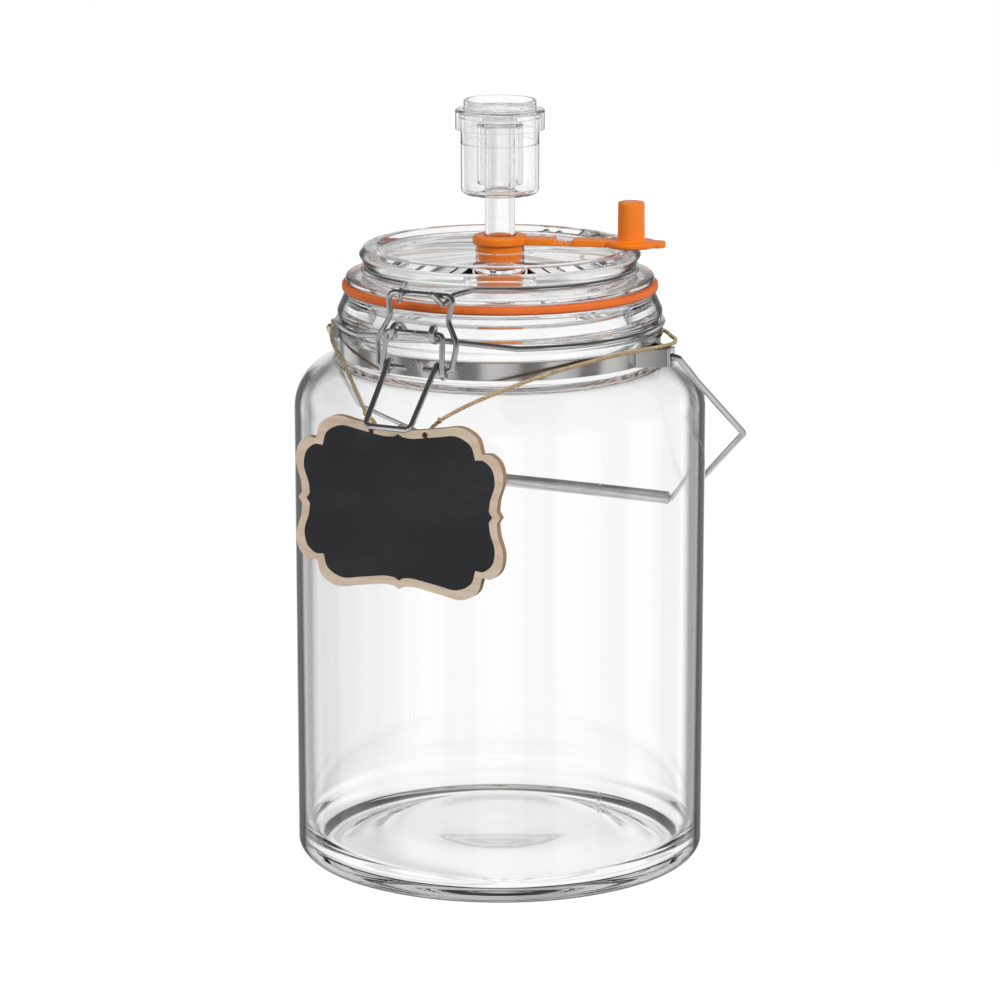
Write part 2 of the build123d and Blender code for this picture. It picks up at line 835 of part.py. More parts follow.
# Float: an upturned thimble over the inner tube, notched at its foot so that gas can bubble out.
with BuildPart() as airlock_float:
    with BuildSketch(Plane.XY.offset(float_base)):
        Circle(float_radius)
    extrude(amount=float_height)
    with BuildSketch(Plane.XY.offset(float_base)):
        Circle(float_radius - float_wall)
    extrude(amount=float_height - float_roof, mode=Mode.SUBTRACT)
    with BuildSketch(Plane.XY.offset(float_base)):
        with PolarLocations(float_radius, float_notches, start_angle=notch_start):
            Rectangle(2 * float_wall + overrun, float_notch_width)
    extrude(amount=float_notch_height, mode=Mode.SUBTRACT)
airlock_float.part.label = "airlock_float"
export_step(airlock_float.part, "parts/airlock_float.step")

# Cap: a skirt over the cup's bead, a vented disc and a low collar on top.
with BuildPart() as airlock_cap:
    with BuildSketch(Plane.XZ):
        with BuildLine():
            Polyline(
                (0, cap_base),
                (cap_skirt_radius - cap_skirt_wall, cap_base),
                (cap_skirt_radius - cap_skirt_wall, cap_base - cap_skirt_drop),
                (cap_skirt_radius, cap_base - cap_skirt_drop),
                (cap_skirt_radius, cap_disc_top),
                (cap_collar_radius, cap_disc_top),
                (cap_collar_radius, cap_disc_top + cap_collar_height),
                (cap_collar_radius - cap_collar_wall, cap_disc_top + cap_collar_height),
                (cap_collar_radius - cap_collar_wall, cap_disc_top),
                (0, cap_disc_top),
                close=True,
            )
        make_face()
    revolve(axis=Axis.Z)
    with BuildSketch(Plane.XY.offset(cap_base - overrun)):
        with PolarLocations(cap_vent_ring, cap_vents):
            Circle(cap_vent_radius)
    extrude(amount=cap_disc_thickness + 2 * overrun, mode=Mode.SUBTRACT)
airlock_cap.part.label = "airlock_cap"
export_step(airlock_cap.part, "parts/airlock_cap.step")

# Label board: a scalloped plywood plaque with two holes for the twine and a shallow bed for its face.
with BuildPart() as label_board:
    with BuildSketch(board_plane):
        add(plaque(board_width, board_height))
        with Locations((-hole_spread / 2, hole_rise), (hole_spread / 2, hole_rise)):
            Circle(hole_radius, mode=Mode.SUBTRACT)
    extrude(amount=board_thickness)
    with BuildSketch(board_plane.offset(board_thickness - face_depth)):
        add(plaque(face_width + 2 * seat_gap, face_height + 2 * seat_gap))
    extrude(amount=face_depth + overrun, mode=Mode.SUBTRACT)
label_board.part.label = "label_board"
export_step(label_board.part, "parts/label_board.step")

# Label face: the slate-black panel in the board's bed.
with BuildPart() as label_face:
    with BuildSketch(board_plane.offset(board_thickness - face_depth)):
        add(plaque(face_width, face_height))
    extrude(amount=face_depth)
label_face.part.label = "label_face"
export_step(label_face.part, "parts/label_face.step")

# Ties: on each side a small knot where the label swings, and the tail from it behind the board
# and into the hole.
with BuildPart() as twine_ties:
    for side in (-1, 1):
        knot = (board_middle + side * tie_spread / 2, -tie_reach, tie_height)
        hole = board_middle + side * hole_spread / 2
        with BuildLine() as tail:
            Polyline(
                knot,
                (hole, -tie_reach, board_rise + hole_rise + tail_bend),
                (hole, -tie_reach - tail_bend, board_rise + hole_rise),
                (hole, -board_back - tail_depth, board_rise + hole_rise),
            )
        with BuildSketch(start_of(tail)):
            RegularPolygon(twine_radius, round(twine_sides))
        sweep(transition=Transition.RIGHT)
        with BuildSketch(Plane(origin=knot, z_dir=(1, 0, 0)).offset(-tie_knot_radius)):
            RegularPolygon(tie_knot_radius, round(twine_sides))
        extrude(amount=2 * tie_knot_radius)
twine_ties.part.label = "twine_ties"
export_step(twine_ties.part, "parts/twine_ties.step")

# Twine: one length that runs from the right knot over the right ear, behind the neck, over the
# left ear and down to the left knot.
twine_runs = [Vector(end) - Vector(start) for start, end in zip(twine_points, twine_points[1:])]
twine_bends = [
    bend_share * min(before.length, after.length) / tan(radians(before.get_angle(after) / 2))
    for before, after in zip(twine_runs, twine_runs[1:])
]
with BuildLine() as twine_route:
    FilletPolyline(*twine_points, radius=twine_bends)
with BuildPart() as twine:
    with BuildLine() as twine_path:
        Polyline(*chorded(twine_route))
    with BuildSketch(start_of(twine_path)):
        RegularPolygon(twine_radius, round(twine_sides))
    sweep(transition=Transition.RIGHT)
twine.part.label = "twine"
export_step(twine.part, "parts/twine.step")
twine_length = twine_route.wire().length
twine_section = twine_sides / 2 * twine_radius**2 * sin(2 * pi / twine_sides)
print("twine runs", [round(run.length, 1) for run in twine_runs])
print("twine bend radii", [round(bend, 1) for bend in twine_bends])
print("twine length", round(twine_length, 1), "volume over section times length",
      round(twine.part.volume / (twine_section * twine_length), 4))
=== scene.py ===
import bpy
import bmesh
import random
from math import acos, asin, atan, ceil, cos, degrees, hypot, pi, radians, sin, tan
from mathutils import Matrix, Vector


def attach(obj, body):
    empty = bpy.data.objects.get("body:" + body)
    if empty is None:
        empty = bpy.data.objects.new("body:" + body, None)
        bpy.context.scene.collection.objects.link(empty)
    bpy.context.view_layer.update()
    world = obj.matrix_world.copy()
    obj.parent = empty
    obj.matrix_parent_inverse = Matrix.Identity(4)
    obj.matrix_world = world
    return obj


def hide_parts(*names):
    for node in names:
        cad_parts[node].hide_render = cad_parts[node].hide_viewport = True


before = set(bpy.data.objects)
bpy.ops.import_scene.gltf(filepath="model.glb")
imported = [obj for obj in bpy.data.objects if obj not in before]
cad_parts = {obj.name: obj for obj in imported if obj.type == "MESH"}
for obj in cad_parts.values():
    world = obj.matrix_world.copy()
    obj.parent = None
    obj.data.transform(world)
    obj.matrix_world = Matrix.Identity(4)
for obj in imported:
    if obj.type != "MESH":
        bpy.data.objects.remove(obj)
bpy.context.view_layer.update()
mm = 0.001   # sizes below are in millimetres, in the same frame as the model
print("frame loaded,", len(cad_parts), "nodes")


# Lines and outlines

arcStep = 0.2      # radians between two points of a rounded corner
straight = 0.02    # radians of turn that need no rounding
onAxis = 0.001     # a radius this small is a pole

def eased(corners, closed=False):
    # each corner is a point and the radius that it is rounded with
    spots = [(Vector(corner[0]), corner[1]) for corner in corners]
    line = []
    for index, (spot, radius) in enumerate(spots):
        if not radius or (not closed and index in (0, len(spots) - 1)):
            line.append(spot)
            continue
        before = spots[index - 1][0] - spot
        after = spots[(index + 1) % len(spots)][0] - spot
        gap = before.angle(after)
        turn = pi - gap
        if turn < straight:
            line.append(spot)
            continue
        reach = min(radius / tan(gap / 2), 0.48 * before.length, 0.48 * after.length)
        bend = reach * tan(gap / 2)
        before.normalize()
        after.normalize()
        centre = spot + (before + after).normalized() * bend / sin(gap / 2)
        start = spot + before * reach - centre
        end = spot + after * reach - centre
        steps = max(2, ceil(turn / arcStep))
        for step in range(steps + 1):
            share = step / steps
            line.append(centre + (start * sin((1 - share) * turn) + end * sin(share * turn)) / sin(turn))
    return line

def flatCorners(rows):
    # rows of radius, height and rounding, or of two coordinates and a rounding
    return [((row[0], row[1]), row[2] if len(row) > 2 else 0) for row in rows]

def turnsOf(count):
    return [2 * pi * step / count for step in range(count)]

def circle(radius, centre=(0, 0), count=32):
    return [(centre[0] + radius * cos(turn), centre[1] + radius * sin(turn)) for turn in turnsOf(count)]

def arcRows(across, up, radius, start, turn, steps=14):
    angles = [radians(start + turn * step / steps) for step in range(steps + 1)]
    return [(across + radius * cos(angle), up + radius * sin(angle)) for angle in angles]

def smooth(points, steps=6):
    # a curve through a few points, for an outline
    spots = [Vector(point) for point in points]
    spots = [spots[0] * 2 - spots[1]] + spots + [spots[-1] * 2 - spots[-2]]
    line = []
    for a, b, c, d in zip(spots, spots[1:], spots[2:], spots[3:]):
        for step in range(steps):
            t = step / steps
            bend, twist = 2 * a - 5 * b + 4 * c - d, 3 * b - a - 3 * c + d
            line.append(0.5 * (2 * b + (c - a) * t + bend * t * t + twist * t ** 3))
    return [tuple(spot) for spot in line + [spots[-2]]]

def ringLine(radius, start, end, height, step=3):
    # part of a ring, its angles counted from the front
    steps = max(2, ceil(abs(end - start) / step))
    turns = [radians(start + (end - start) * index / steps) for index in range(steps + 1)]
    return [Vector((radius * sin(turn), -radius * cos(turn), height)) for turn in turns]

def pastRing(radius, angle, height, run):
    turn = radians(angle)
    return (radius * sin(turn) + run * cos(turn), -radius * cos(turn) + run * sin(turn), height)

def bothSides(route):
    # a route that ends in the middle, run on through its mirror image
    mirrored = [Vector((-spot.x, spot.y, spot.z)) for spot in reversed(route)]
    if abs(route[-1].x) < onAxis:
        mirrored = mirrored[1:]
    return route + mirrored


# Mesh tools

standing = Matrix.Rotation(pi / 2, 4, "X")   # turns a flat outline to face the front

def moved(x, y, z):
    return Matrix.Translation((x * mm, y * mm, z * mm))

def shown(name, data):
    holder = bpy.data.objects.new(name, data)
    bpy.context.scene.collection.objects.link(holder)
    return holder

def pieceFrom(name, mesh, sharpAt=38):
    bmesh.ops.recalc_face_normals(mesh, faces=mesh.faces)
    data = bpy.data.meshes.new(name)
    mesh.to_mesh(data)
    mesh.free()
    data.shade_smooth()
    data.set_sharp_from_angle(angle=radians(sharpAt))
    return shown(name, data)

def lathe(name, rows, centre=(0, 0), segments=192, sharpAt=38):
    # rows that start on the axis are closed by two poles, others by joining the last to the first
    isSolid = rows[0][0] < onAxis
    outline = eased(flatCorners(rows), closed=not isSolid)
    mesh = bmesh.new()
    rings = []
    for radius, height in outline:
        count = segments if radius > onAxis else 1
        rings.append([mesh.verts.new((x * mm, y * mm, height * mm)) for x, y in circle(radius, centre, count)])
    pairs = list(zip(rings, rings[1:])) + ([] if isSolid else [(rings[-1], rings[0])])
    for low, high in pairs:
        for step in range(segments):
            after = (step + 1) % segments
            corners = [ring[place % len(ring)] for ring, place in
                       ((low, step), (low, after), (high, after), (high, step))]
            corners = list(dict.fromkeys(corners))
            if len(corners) > 2:
                mesh.faces.new(corners)
    return pieceFrom(name, mesh, sharpAt)

def drum(name, low, high, radius, centre=(0, 0), segments=96, taper=0, ease=(0, 0)):
    # a plain round solid, wider at its foot by the taper on each side of its radius
    rows = [(0, low), (radius + taper, low, ease[0]), (radius - taper, high, ease[1]), (0, high)]
    return lathe(name, rows, centre, segments)

def framesAlong(points):
    # a direction and two square to it at each point, carried along without twist
    frames = []
    side = None
    for index, spot in enumerate(points):
        ahead = (points[min(index + 1, len(points) - 1)] - points[max(index - 1, 0)]).normalized()
        if side is None:
            side = ahead.orthogonal().normalized()
        side = (side - ahead * side.dot(ahead)).normalized()
        frames.append((spot, side, ahead.cross(side)))
    return frames

def sweptTube(mesh, points, radius, sides):
    # radius is one value or one for each point
    radii = radius if isinstance(radius, list) else [radius] * len(points)
    rings = []
    for (spot, side, up), reach in zip(framesAlong(points), radii):
        rings.append([
            mesh.verts.new((spot + (side * cos(turn) + up * sin(turn)) * reach) * mm) for turn in turnsOf(sides)
        ])
    for low, high in zip(rings, rings[1:]):
        for step in range(sides):
            after = (step + 1) % sides
            mesh.faces.new((low[step], low[after], high[after], high[step]))
    mesh.faces.new(list(reversed(rings[0])))
    mesh.faces.new(rings[-1])

wireEnd = {"inset": 0.35, "share": 0.4, "tip": 0.7, "shoulder": 0.92}   # in the wire's radius

def wire(name, route, radius, sides=20):
    # the cut ends are slightly rounded
    def cutEnd(end, following):
        ahead = (following - end).normalized() * wireEnd["inset"] * radius
        return [end, end + ahead * wireEnd["share"], end + ahead]
    points = cutEnd(route[0], route[1]) + route[1:-1] + cutEnd(route[-1], route[-2])[::-1]
    tip = [radius * wireEnd["tip"], radius * wireEnd["shoulder"], radius]
    radii = tip + [radius] * (len(route) - 2) + tip[::-1]
    mesh = bmesh.new()
    sweptTube(mesh, points, radii, sides)
    return pieceFrom(name, mesh, 60)

def slab(name, outline, place, thickness, bevel=0.2, bevelSteps=3):
    # a plate with eased edges; place turns the flat outline's points into ones of the frame
    mesh = bmesh.new()
    ring = [mesh.verts.new((spot[0] * mm, spot[1] * mm, 0)) for spot in outline]
    face = mesh.faces.new(ring)
    lifted = bmesh.ops.extrude_face_region(mesh, geom=[face])["geom"]
    raised = [item for item in lifted if isinstance(item, bmesh.types.BMVert)]
    bmesh.ops.translate(mesh, verts=raised, vec=(0, 0, thickness * mm))
    mesh.transform(place)
    piece = pieceFrom(name, mesh)
    if bevel:
        soften(piece, bevel, bevelSteps)
    return piece

def soften(piece, width, steps=3, angle=35):
    edge = piece.modifiers.new("easedEdges", "BEVEL")
    edge.width = width * mm
    edge.segments = steps
    edge.limit_method = "ANGLE"
    edge.angle_limit = radians(angle)
    edge.harden_normals = True

def settled(piece):
    # the piece's modifiers made part of its mesh
    bpy.context.view_layer.update()
    seen = piece.evaluated_get(bpy.context.evaluated_depsgraph_get())
    old = piece.data
    piece.data = bpy.data.meshes.new_from_object(seen)
    piece.modifiers.clear()
    bpy.data.meshes.remove(old)
    return piece

def cutBy(piece, tools):
    for tool in tools:
        hole = piece.modifiers.new("cut", "BOOLEAN")
        hole.object = tool
        hole.solver = "EXACT"
    settled(piece)
    for tool in tools:
        bpy.data.objects.remove(tool)
    piece.data.set_sharp_from_angle(angle=radians(38))
    return piece

def joined(name, pieces):
    mesh = bmesh.new()
    for piece in pieces:
        settled(piece)
        mesh.from_mesh(piece.data)
    for piece in pieces:
        bpy.data.objects.remove(piece)
    return pieceFrom(name, mesh)

def moulded(piece, grain, passes):
    # one closed skin over joined forms, with small fillets where they meet
    skin = piece.modifiers.new("skin", "REMESH")
    skin.mode = "VOXEL"
    skin.voxel_size = grain * mm
    relax = piece.modifiers.new("relax", "SMOOTH")
    relax.factor = 0.5
    relax.iterations = passes
    settled(piece)
    piece.data.shade_smooth()
    return piece

def given(piece, finish, body, slot, *nodes):
    piece.data.materials.clear()
    piece.data.materials.append(finish)
    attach(piece, body)
    if nodes:
        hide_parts(*nodes)
    return piece


# Materials

class Signal:
    # the value at one socket; arithmetic on it adds the Math nodes
    def __init__(self, sheet, socket):
        self.sheet, self.socket = sheet, socket

    def calc(self, operation, *values):
        return self.sheet.add("ShaderNodeMath", {"operation": operation}, dict(enumerate(values)))

    def __add__(self, other): return self.calc("ADD", self, other)
    def __sub__(self, other): return self.calc("SUBTRACT", self, other)
    def __rsub__(self, other): return self.calc("SUBTRACT", other, self)
    def __mul__(self, other): return self.calc("MULTIPLY", self, other)
    def __pow__(self, other): return self.calc("POWER", self, other)
    __radd__ = __add__
    __rmul__ = __mul__

class Sheet:
    # the nodes of one material or of the world
    def __init__(self, owner):
        owner.use_nodes = True
        self.owner, self.tree = owner, owner.node_tree
        self.tree.nodes.clear()

    def add(self, kind, settings=None, inputs=None, take=0):
        node = self.tree.nodes.new(kind)
        for key, value in (settings or {}).items():
            setattr(node, key, value)
        for key, value in (inputs or {}).items():
            if isinstance(value, Signal):
                self.tree.links.new(value.socket, node.inputs[key])
            elif isinstance(value, tuple) and node.inputs[key].type == "RGBA":
                node.inputs[key].default_value = (*value[:3], 1)
            else:
                node.inputs[key].default_value = value
        return Signal(self, node.outputs[take] if len(node.outputs) else None)

    def place(self):
        return self.add("ShaderNodeTexCoord", take="Object")

    def axes(self, where):
        parts = self.add("ShaderNodeSeparateXYZ", {}, {0: where}).socket.node.outputs
        return [Signal(self, parts[axis]) for axis in range(3)]

    def stretched(self, scale, turn=(0, 0, 0)):
        return self.add("ShaderNodeMapping", {}, {"Vector": self.place(), "Scale": scale, "Rotation": turn})

    def noise(self, scale, detail=3.0, roughness=0.5, where=None):
        inputs = {"Vector": where or self.place(), "Scale": scale, "Detail": detail, "Roughness": roughness}
        return self.add("ShaderNodeTexNoise", {}, inputs)

    def spread(self, value, low, high, toLow=0.0, toHigh=1.0):
        inputs = {0: value, 1: low, 2: high, 3: toLow, 4: toHigh}
        return self.add("ShaderNodeMapRange", {"interpolation_type": "SMOOTHSTEP"}, inputs)

    def mixed(self, share, first, second):
        return self.add("ShaderNodeMix", {"data_type": "RGBA"}, {0: share, 6: first, 7: second}, take=2)

    def bump(self, height, strength, distance):
        return self.add("ShaderNodeBump", {}, {"Height": height, "Strength": strength, "Distance": distance})

    def coated(self, inputs):
        return self.surface(self.add("ShaderNodeBsdfPrincipled", {}, inputs))

    def surface(self, shader, output="ShaderNodeOutputMaterial"):
        self.add(output, {}, {"Surface": shader})
        return self.owner

def sheetOf(name):
    return Sheet(bpy.data.materials.new(name))

# in both looks, the edge colour is painted shade: upright surfaces seen edge-on are tinted towards it, over the
# facing range that follows it
glassLook = {"tint": (0.995, 0.997, 0.995), "ior": 1.5, "roughness": 0.0, "shade": (0.86, 0.875, 0.87),
             "edge": (0.003, 0.0035, 0.0035), "paintedEdgeShadeFrom": (0.63, 0.76), "wave": 14, "waveDepth": 0.00006,
             "seamAt": 54.4, "seamWidth": 0.0005, "seamFrom": (0.058, 0.06)}
plasticLook = {"tint": (0.995, 0.995, 0.995), "ior": 1.45, "roughness": 0.02, "shade": (0.84, 0.85, 0.86),
               "edge": (0.05, 0.05, 0.052), "paintedEdgeShadeFrom": (0.7, 0.86), "wave": 60, "waveDepth": 0.00002}
levelFrom = (0.45, 0.8)   # square of the normal's height, from upright to level; the painted edge shade fades out over it

def clearFinish(name, look):
    sheet = sheetOf(name)
    height = sheet.noise(look["wave"], 2.0, 0.45)
    if "seamAt" in look:   # the mould's parting line, on two opposite sides
        x, y, z = sheet.axes(sheet.place())
        turn = radians(look["seamAt"])
        off = x * cos(turn) + y * sin(turn)
        wall = sheet.spread((x * x + y * y) ** 0.5, *look["seamFrom"])
        height = height + sheet.spread(off.calc("ABSOLUTE", off), 0.0, look["seamWidth"], 0.6, 0.0) * wall
    normal = sheet.bump(height, 0.35, look["waveDepth"])
    # painted shade: where upright glass or plastic is seen along its surface, its colour is darkened towards
    # the edge colour, in place of the dark surroundings it would show
    facing = sheet.add("ShaderNodeLayerWeight", {}, {"Blend": 0.5}, take="Facing")
    upward = sheet.axes(sheet.add("ShaderNodeNewGeometry", take="Normal"))[2]
    edge = sheet.spread(facing, *look["paintedEdgeShadeFrom"]) * sheet.spread(upward * upward, *levelFrom, 1.0, 0.0)
    tint = sheet.mixed(edge, look["tint"], look["edge"])
    glass = sheet.add("ShaderNodeBsdfPrincipled", {}, {
        "Base Color": tint, "Roughness": look["roughness"], "IOR": look["ior"],
        "Transmission Weight": 1.0, "Normal": normal,
    })
    clear = sheet.add("ShaderNodeBsdfTransparent", {}, {"Color": look["shade"]})
    fromLamp = sheet.add("ShaderNodeLightPath", take="Is Shadow Ray")
    return sheet.surface(sheet.add("ShaderNodeMixShader", {}, {0: fromLamp, 1: glass, 2: clear}))

wireLook = {"steel": (0.56, 0.56, 0.57), "dull": (0.38, 0.38, 0.39), "roughness": 0.1, "streak": 700}

def wireFinish(name, look):
    sheet = sheetOf(name)
    patches = sheet.noise(45, 4.0, 0.6)
    fine = sheet.noise(look["streak"], 3.0, 0.7)
    stain = sheet.spread(patches, 0.45, 0.75)
    return sheet.coated({
        "Base Color": sheet.mixed(stain * 0.45, look["steel"], look["dull"]),
        "Metallic": 1.0,
        "Roughness": fine * 0.1 + stain * 0.1 + look["roughness"],
        "Normal": sheet.bump(fine, 0.12, 0.00002),
    })

bandLook = {"steel": (0.5, 0.49, 0.48), "pale": (0.58, 0.58, 0.59), "roughness": 0.14, "brush": 1600}

def bandFinish(name, look):
    sheet = sheetOf(name)
    lines = sheet.noise(1.0, 4.0, 0.7, sheet.stretched((30, 30, look["brush"])))
    patches = sheet.noise(30, 3.0, 0.5)
    return sheet.coated({
        "Base Color": sheet.mixed(patches * 0.4, look["steel"], look["pale"]),
        "Metallic": 1.0,
        "Roughness": lines * 0.16 + look["roughness"] - 0.06,
        "Normal": sheet.bump(lines, 0.2, 0.00002),
    })

gasketLook = {"colour": (0.80, 0.165, 0.03), "deep": (0.62, 0.10, 0.015), "roughness": 0.52}
siliconeLook = {"colour": (0.88, 0.22, 0.014), "deep": (0.76, 0.165, 0.007), "roughness": 0.34}

def rubberFinish(name, look, gloss):
    sheet = sheetOf(name)
    cloud = sheet.noise(70, 4.0, 0.6)
    grain = sheet.noise(2600, 2.0, 0.6)
    dust = sheet.spread(sheet.noise(420, 4.0, 0.7), 0.62, 0.8)
    return sheet.coated({
        "Base Color": sheet.mixed(sheet.spread(cloud, 0.35, 0.7) * 0.35, look["colour"], look["deep"]),
        "Roughness": grain * 0.12 + dust * 0.1 + look["roughness"] - 0.06,
        "Specular IOR Level": 0.45,
        "Subsurface Weight": gloss,
        "Subsurface Radius": (0.6, 0.2, 0.08),
        "Subsurface Scale": 0.002,
        "Normal": sheet.bump(grain, 0.18, 0.00003),
    })

woodLook = {"pale": (0.84, 0.69, 0.55), "warm": (0.74, 0.57, 0.43), "pore": (0.50, 0.35, 0.21),
            "roughness": 0.62}

def woodFinish(name, look):
    sheet = sheetOf(name)
    along = sheet.stretched((18, 60, 260))
    figure = sheet.noise(1.0, 4.0, 0.62, along)
    pores = sheet.noise(1.0, 3.0, 0.7, sheet.stretched((150, 500, 2600)))
    tone = sheet.mixed(sheet.spread(figure, 0.36, 0.66), look["pale"], look["warm"])
    tone = sheet.mixed(sheet.spread(pores, 0.58, 0.72) * 0.4, tone, look["pore"])
    return sheet.coated({
        "Base Color": tone,
        "Roughness": figure * 0.12 + look["roughness"],
        "Normal": sheet.bump(figure * 0.6 + pores * 0.4, 0.3, 0.00006),
    })

edgeLook = {"burnt": (0.24, 0.135, 0.07), "tan": (0.46, 0.31, 0.19), "plies": 3, "thickness": 0.003}

def edgeFinish(name, look):
    # a laser-cut edge: scorched plies with a paler core
    sheet = sheetOf(name)
    depth = sheet.axes(sheet.place())[1]
    wave = depth * (2 * pi * look["plies"] / look["thickness"])
    plies = wave.calc("SINE", wave) * 0.5 + 0.5
    scorch = sheet.noise(140, 4.0, 0.65)
    return sheet.coated({
        "Base Color": sheet.mixed(plies * 0.45 + scorch * 0.4, look["burnt"], look["tan"]),
        "Roughness": scorch * 0.1 + 0.7,
        "Normal": sheet.bump(plies * 0.5 + scorch * 0.5, 0.35, 0.00008),
    })

slateLook = {"black": (0.030, 0.031, 0.033), "dusty": (0.062, 0.063, 0.066), "roughness": 0.78}

def slateFinish(name, look):
    sheet = sheetOf(name)
    wiped = sheet.noise(1.0, 5.0, 0.6, sheet.stretched((26, 26, 60), (0, 0.5, 0)))
    grain = sheet.noise(3200, 2.0, 0.7)
    dust = sheet.spread(wiped, 0.4, 0.75) * 0.35 + grain * 0.12
    return sheet.coated({
        "Base Color": sheet.mixed(dust, look["black"], look["dusty"]),
        "Roughness": grain * 0.14 + look["roughness"],
        "Specular IOR Level": 0.3,
        "Normal": sheet.bump(grain, 0.35, 0.00004),
    })

twineLook = {"pale": (0.56, 0.41, 0.24), "dark": (0.33, 0.215, 0.11), "roughness": 0.85}

def twineFinish(name, look):
    sheet = sheetOf(name)
    blotch = sheet.noise(240, 4.0, 0.6)
    fibre = sheet.noise(2800, 3.0, 0.75)
    shade = sheet.spread(blotch * 0.6 + fibre * 0.4, 0.35, 0.68)
    return sheet.coated({
        "Base Color": sheet.mixed(shade, look["pale"], look["dark"]),
        "Roughness": look["roughness"],
        "Sheen Weight": 0.25,
        "Sheen Roughness": 0.5,
        "Normal": sheet.bump(fibre, 0.6, 0.00012),
    })

glass = clearFinish("clearGlass", glassLook)
plastic = clearFinish("clearPlastic", plasticLook)
wireSteel = wireFinish("drawnSteel", wireLook)
bandSteel = bandFinish("brushedStrap", bandLook)
gasketRubber = rubberFinish("orangeRubber", gasketLook, 0.0)
silicone = rubberFinish("orangeSilicone", siliconeLook, 0.15)
plywood = woodFinish("palePlywood", woodLook)
cutEdge = edgeFinish("scorchedEdge", edgeLook)
slate = slateFinish("slateBlack", slateLook)
jute = twineFinish("juteTwine", twineLook)
print("materials made")


# Glass jar

jar = {
    "radius": 80, "height": 225, "wall": 3.5, "heel": 6.5, "neckRadius": 61.6, "neckHeight": 26,
    "neckWall": 4.6, "shoulderTuck": 1.6, "bandFoot": 1.5, "beadDepth": 1.6, "beadHeight": 3.3,
    "grooveHeight": 3.6, "collarDepth": 1.4, "lipInset": 1.2,
    "underside": [(0, 8.8), (14, 9.0), (26, 8.9), (36, 7.6), (44, 4.9), (52, 2.1), (60, 0.5), (64, 0.1)],
    "innerHeel": [(0, 20), (0.7, 14), (3, 9.2), (7, 6), (13, 4.6)],   # insets from the inner wall, and heights
    "innerFloor": [(55, 5.2), (47, 7.6), (38, 11.2), (28, 13.2), (15, 13.5), (0, 13.3)],
}

def neckLevels(size):
    base = size["height"] - size["neckHeight"]
    beadBase = base + size["bandFoot"] + band["height"] + 0.1
    beadTop = beadBase + size["beadHeight"]
    return base, beadBase, beadTop, beadTop + size["grooveHeight"]

band = {"height": 7, "thickness": 0.8, "gap": 0.1, "seamAt": -4, "seamSlant": 3, "seamWidth": 0.4}
neckBase, beadBase, beadTop, grooveTop = neckLevels(jar)

def makeJar(size):
    shoulder = size["radius"] - size["neckRadius"] + size["shoulderTuck"]
    turn = degrees(acos(size["shoulderTuck"] / shoulder))
    across = size["radius"] - shoulder
    up = neckBase - shoulder * sin(radians(turn))
    inner = size["radius"] - size["wall"]
    mouth = size["neckRadius"] - size["neckWall"]
    throat = shoulder - size["wall"]
    neck = size["neckRadius"]
    bead, collar, lip = neck + size["beadDepth"], neck + size["collarDepth"], neck - size["lipInset"]
    heel = [(inner - inset, height) for inset, height in size["innerHeel"]]
    rows = [
        *smooth(size["underside"]), (size["radius"], 0, size["heel"]),
        *arcRows(across, up, shoulder, 0, turn - 6, 18),
        (neck, neckBase, 1.1), (neck, beadBase, 0.5), (bead, beadBase, 0.9), (bead, beadTop, 1.1),
        (neck, beadTop, 0.7), (neck, grooveTop, 0.9), (collar, grooveTop + 1.4, 0.9),
        (collar, grooveTop + 3.2, 3), (lip, size["height"] - 1.4, 2), (lip, size["height"], 0.8),
        (mouth, size["height"], 1.2), (mouth, up + throat, 5),
        *arcRows(across, up, throat, 78, -78, 14), *smooth(heel + size["innerFloor"]),
    ]
    return lathe("jarGlass", rows, segments=240, sharpAt=60)

given(makeJar(jar), glass, "jar", "glass", "jar_body")
print("jar made")


# Steel band and ears

ear = {"thickness": 1.2, "reach": 10.6, "land": 6, "spread": 21.2, "rootDepth": 2.5,
       "bend": 1.8, "leastBend": 0.4, "hole": 1.6}
bandRadius = jar["neckRadius"] + band["gap"] + band["thickness"]
bandBase = neckBase + jar["bandFoot"]
handleHeight = bandBase + band["height"] / 2

def makeBand(size):
    inner, outer = bandRadius - size["thickness"], bandRadius
    top = bandBase + size["height"]
    section = [(inner, bandBase, 0.15), (outer, bandBase, 0.25), (outer, top, 0.25), (inner, top, 0.15)]
    strap = lathe("neckBand", section, segments=200)
    low, high = size["seamAt"] + size["seamSlant"] / 2, size["seamAt"] - size["seamSlant"] / 2
    rows = [
        (low, bandBase - 1), (low + size["seamWidth"], bandBase - 1),
        (high + size["seamWidth"], top + 1), (high, top + 1),
    ]
    cutter = slab("seamCutter", rows, moved(0, -(outer - 3), 0) @ standing, 6, bevel=0)
    return cutBy(strap, [cutter])

def makeEar(name, side, size):
    root, outer = bandRadius - size["rootDepth"], bandRadius + size["reach"]
    def loop(inset):
        # the ear's plan, drawn in by the strap's thickness for its inner face
        slope = (size["spread"] - size["land"]) / 2 / (outer - root)
        drop = inset * hypot(1, slope)
        land = size["land"] / 2 - drop + inset * slope
        wide = size["spread"] / 2 - drop
        bend = max(size["leastBend"], size["bend"] - inset)
        rows = [(root, -wide), (outer - inset, -land, bend), (outer - inset, land, bend), (root, wide)]
        return [(side * spot[0], spot[1]) for spot in eased(flatCorners(rows))]
    outerLine, innerLine = loop(0), loop(size["thickness"])
    outline = outerLine + list(reversed(innerLine))
    if side < 0:
        outline.reverse()
    piece = slab(name, outline, moved(0, 0, bandBase), band["height"], bevel=0)
    trim = drum("neckTrim", bandBase - 2, bandBase + 12, bandRadius + 0.05, segments=160)
    sideways = moved(side * (bandRadius + 2), 0, handleHeight) @ Matrix.Rotation(side * pi / 2, 4, "Y")
    drill = slab("pinDrill", circle(size["hole"]), sideways, 12, bevel=0)
    cutBy(piece, [trim, drill])
    soften(piece, 0.18, 2)
    return piece

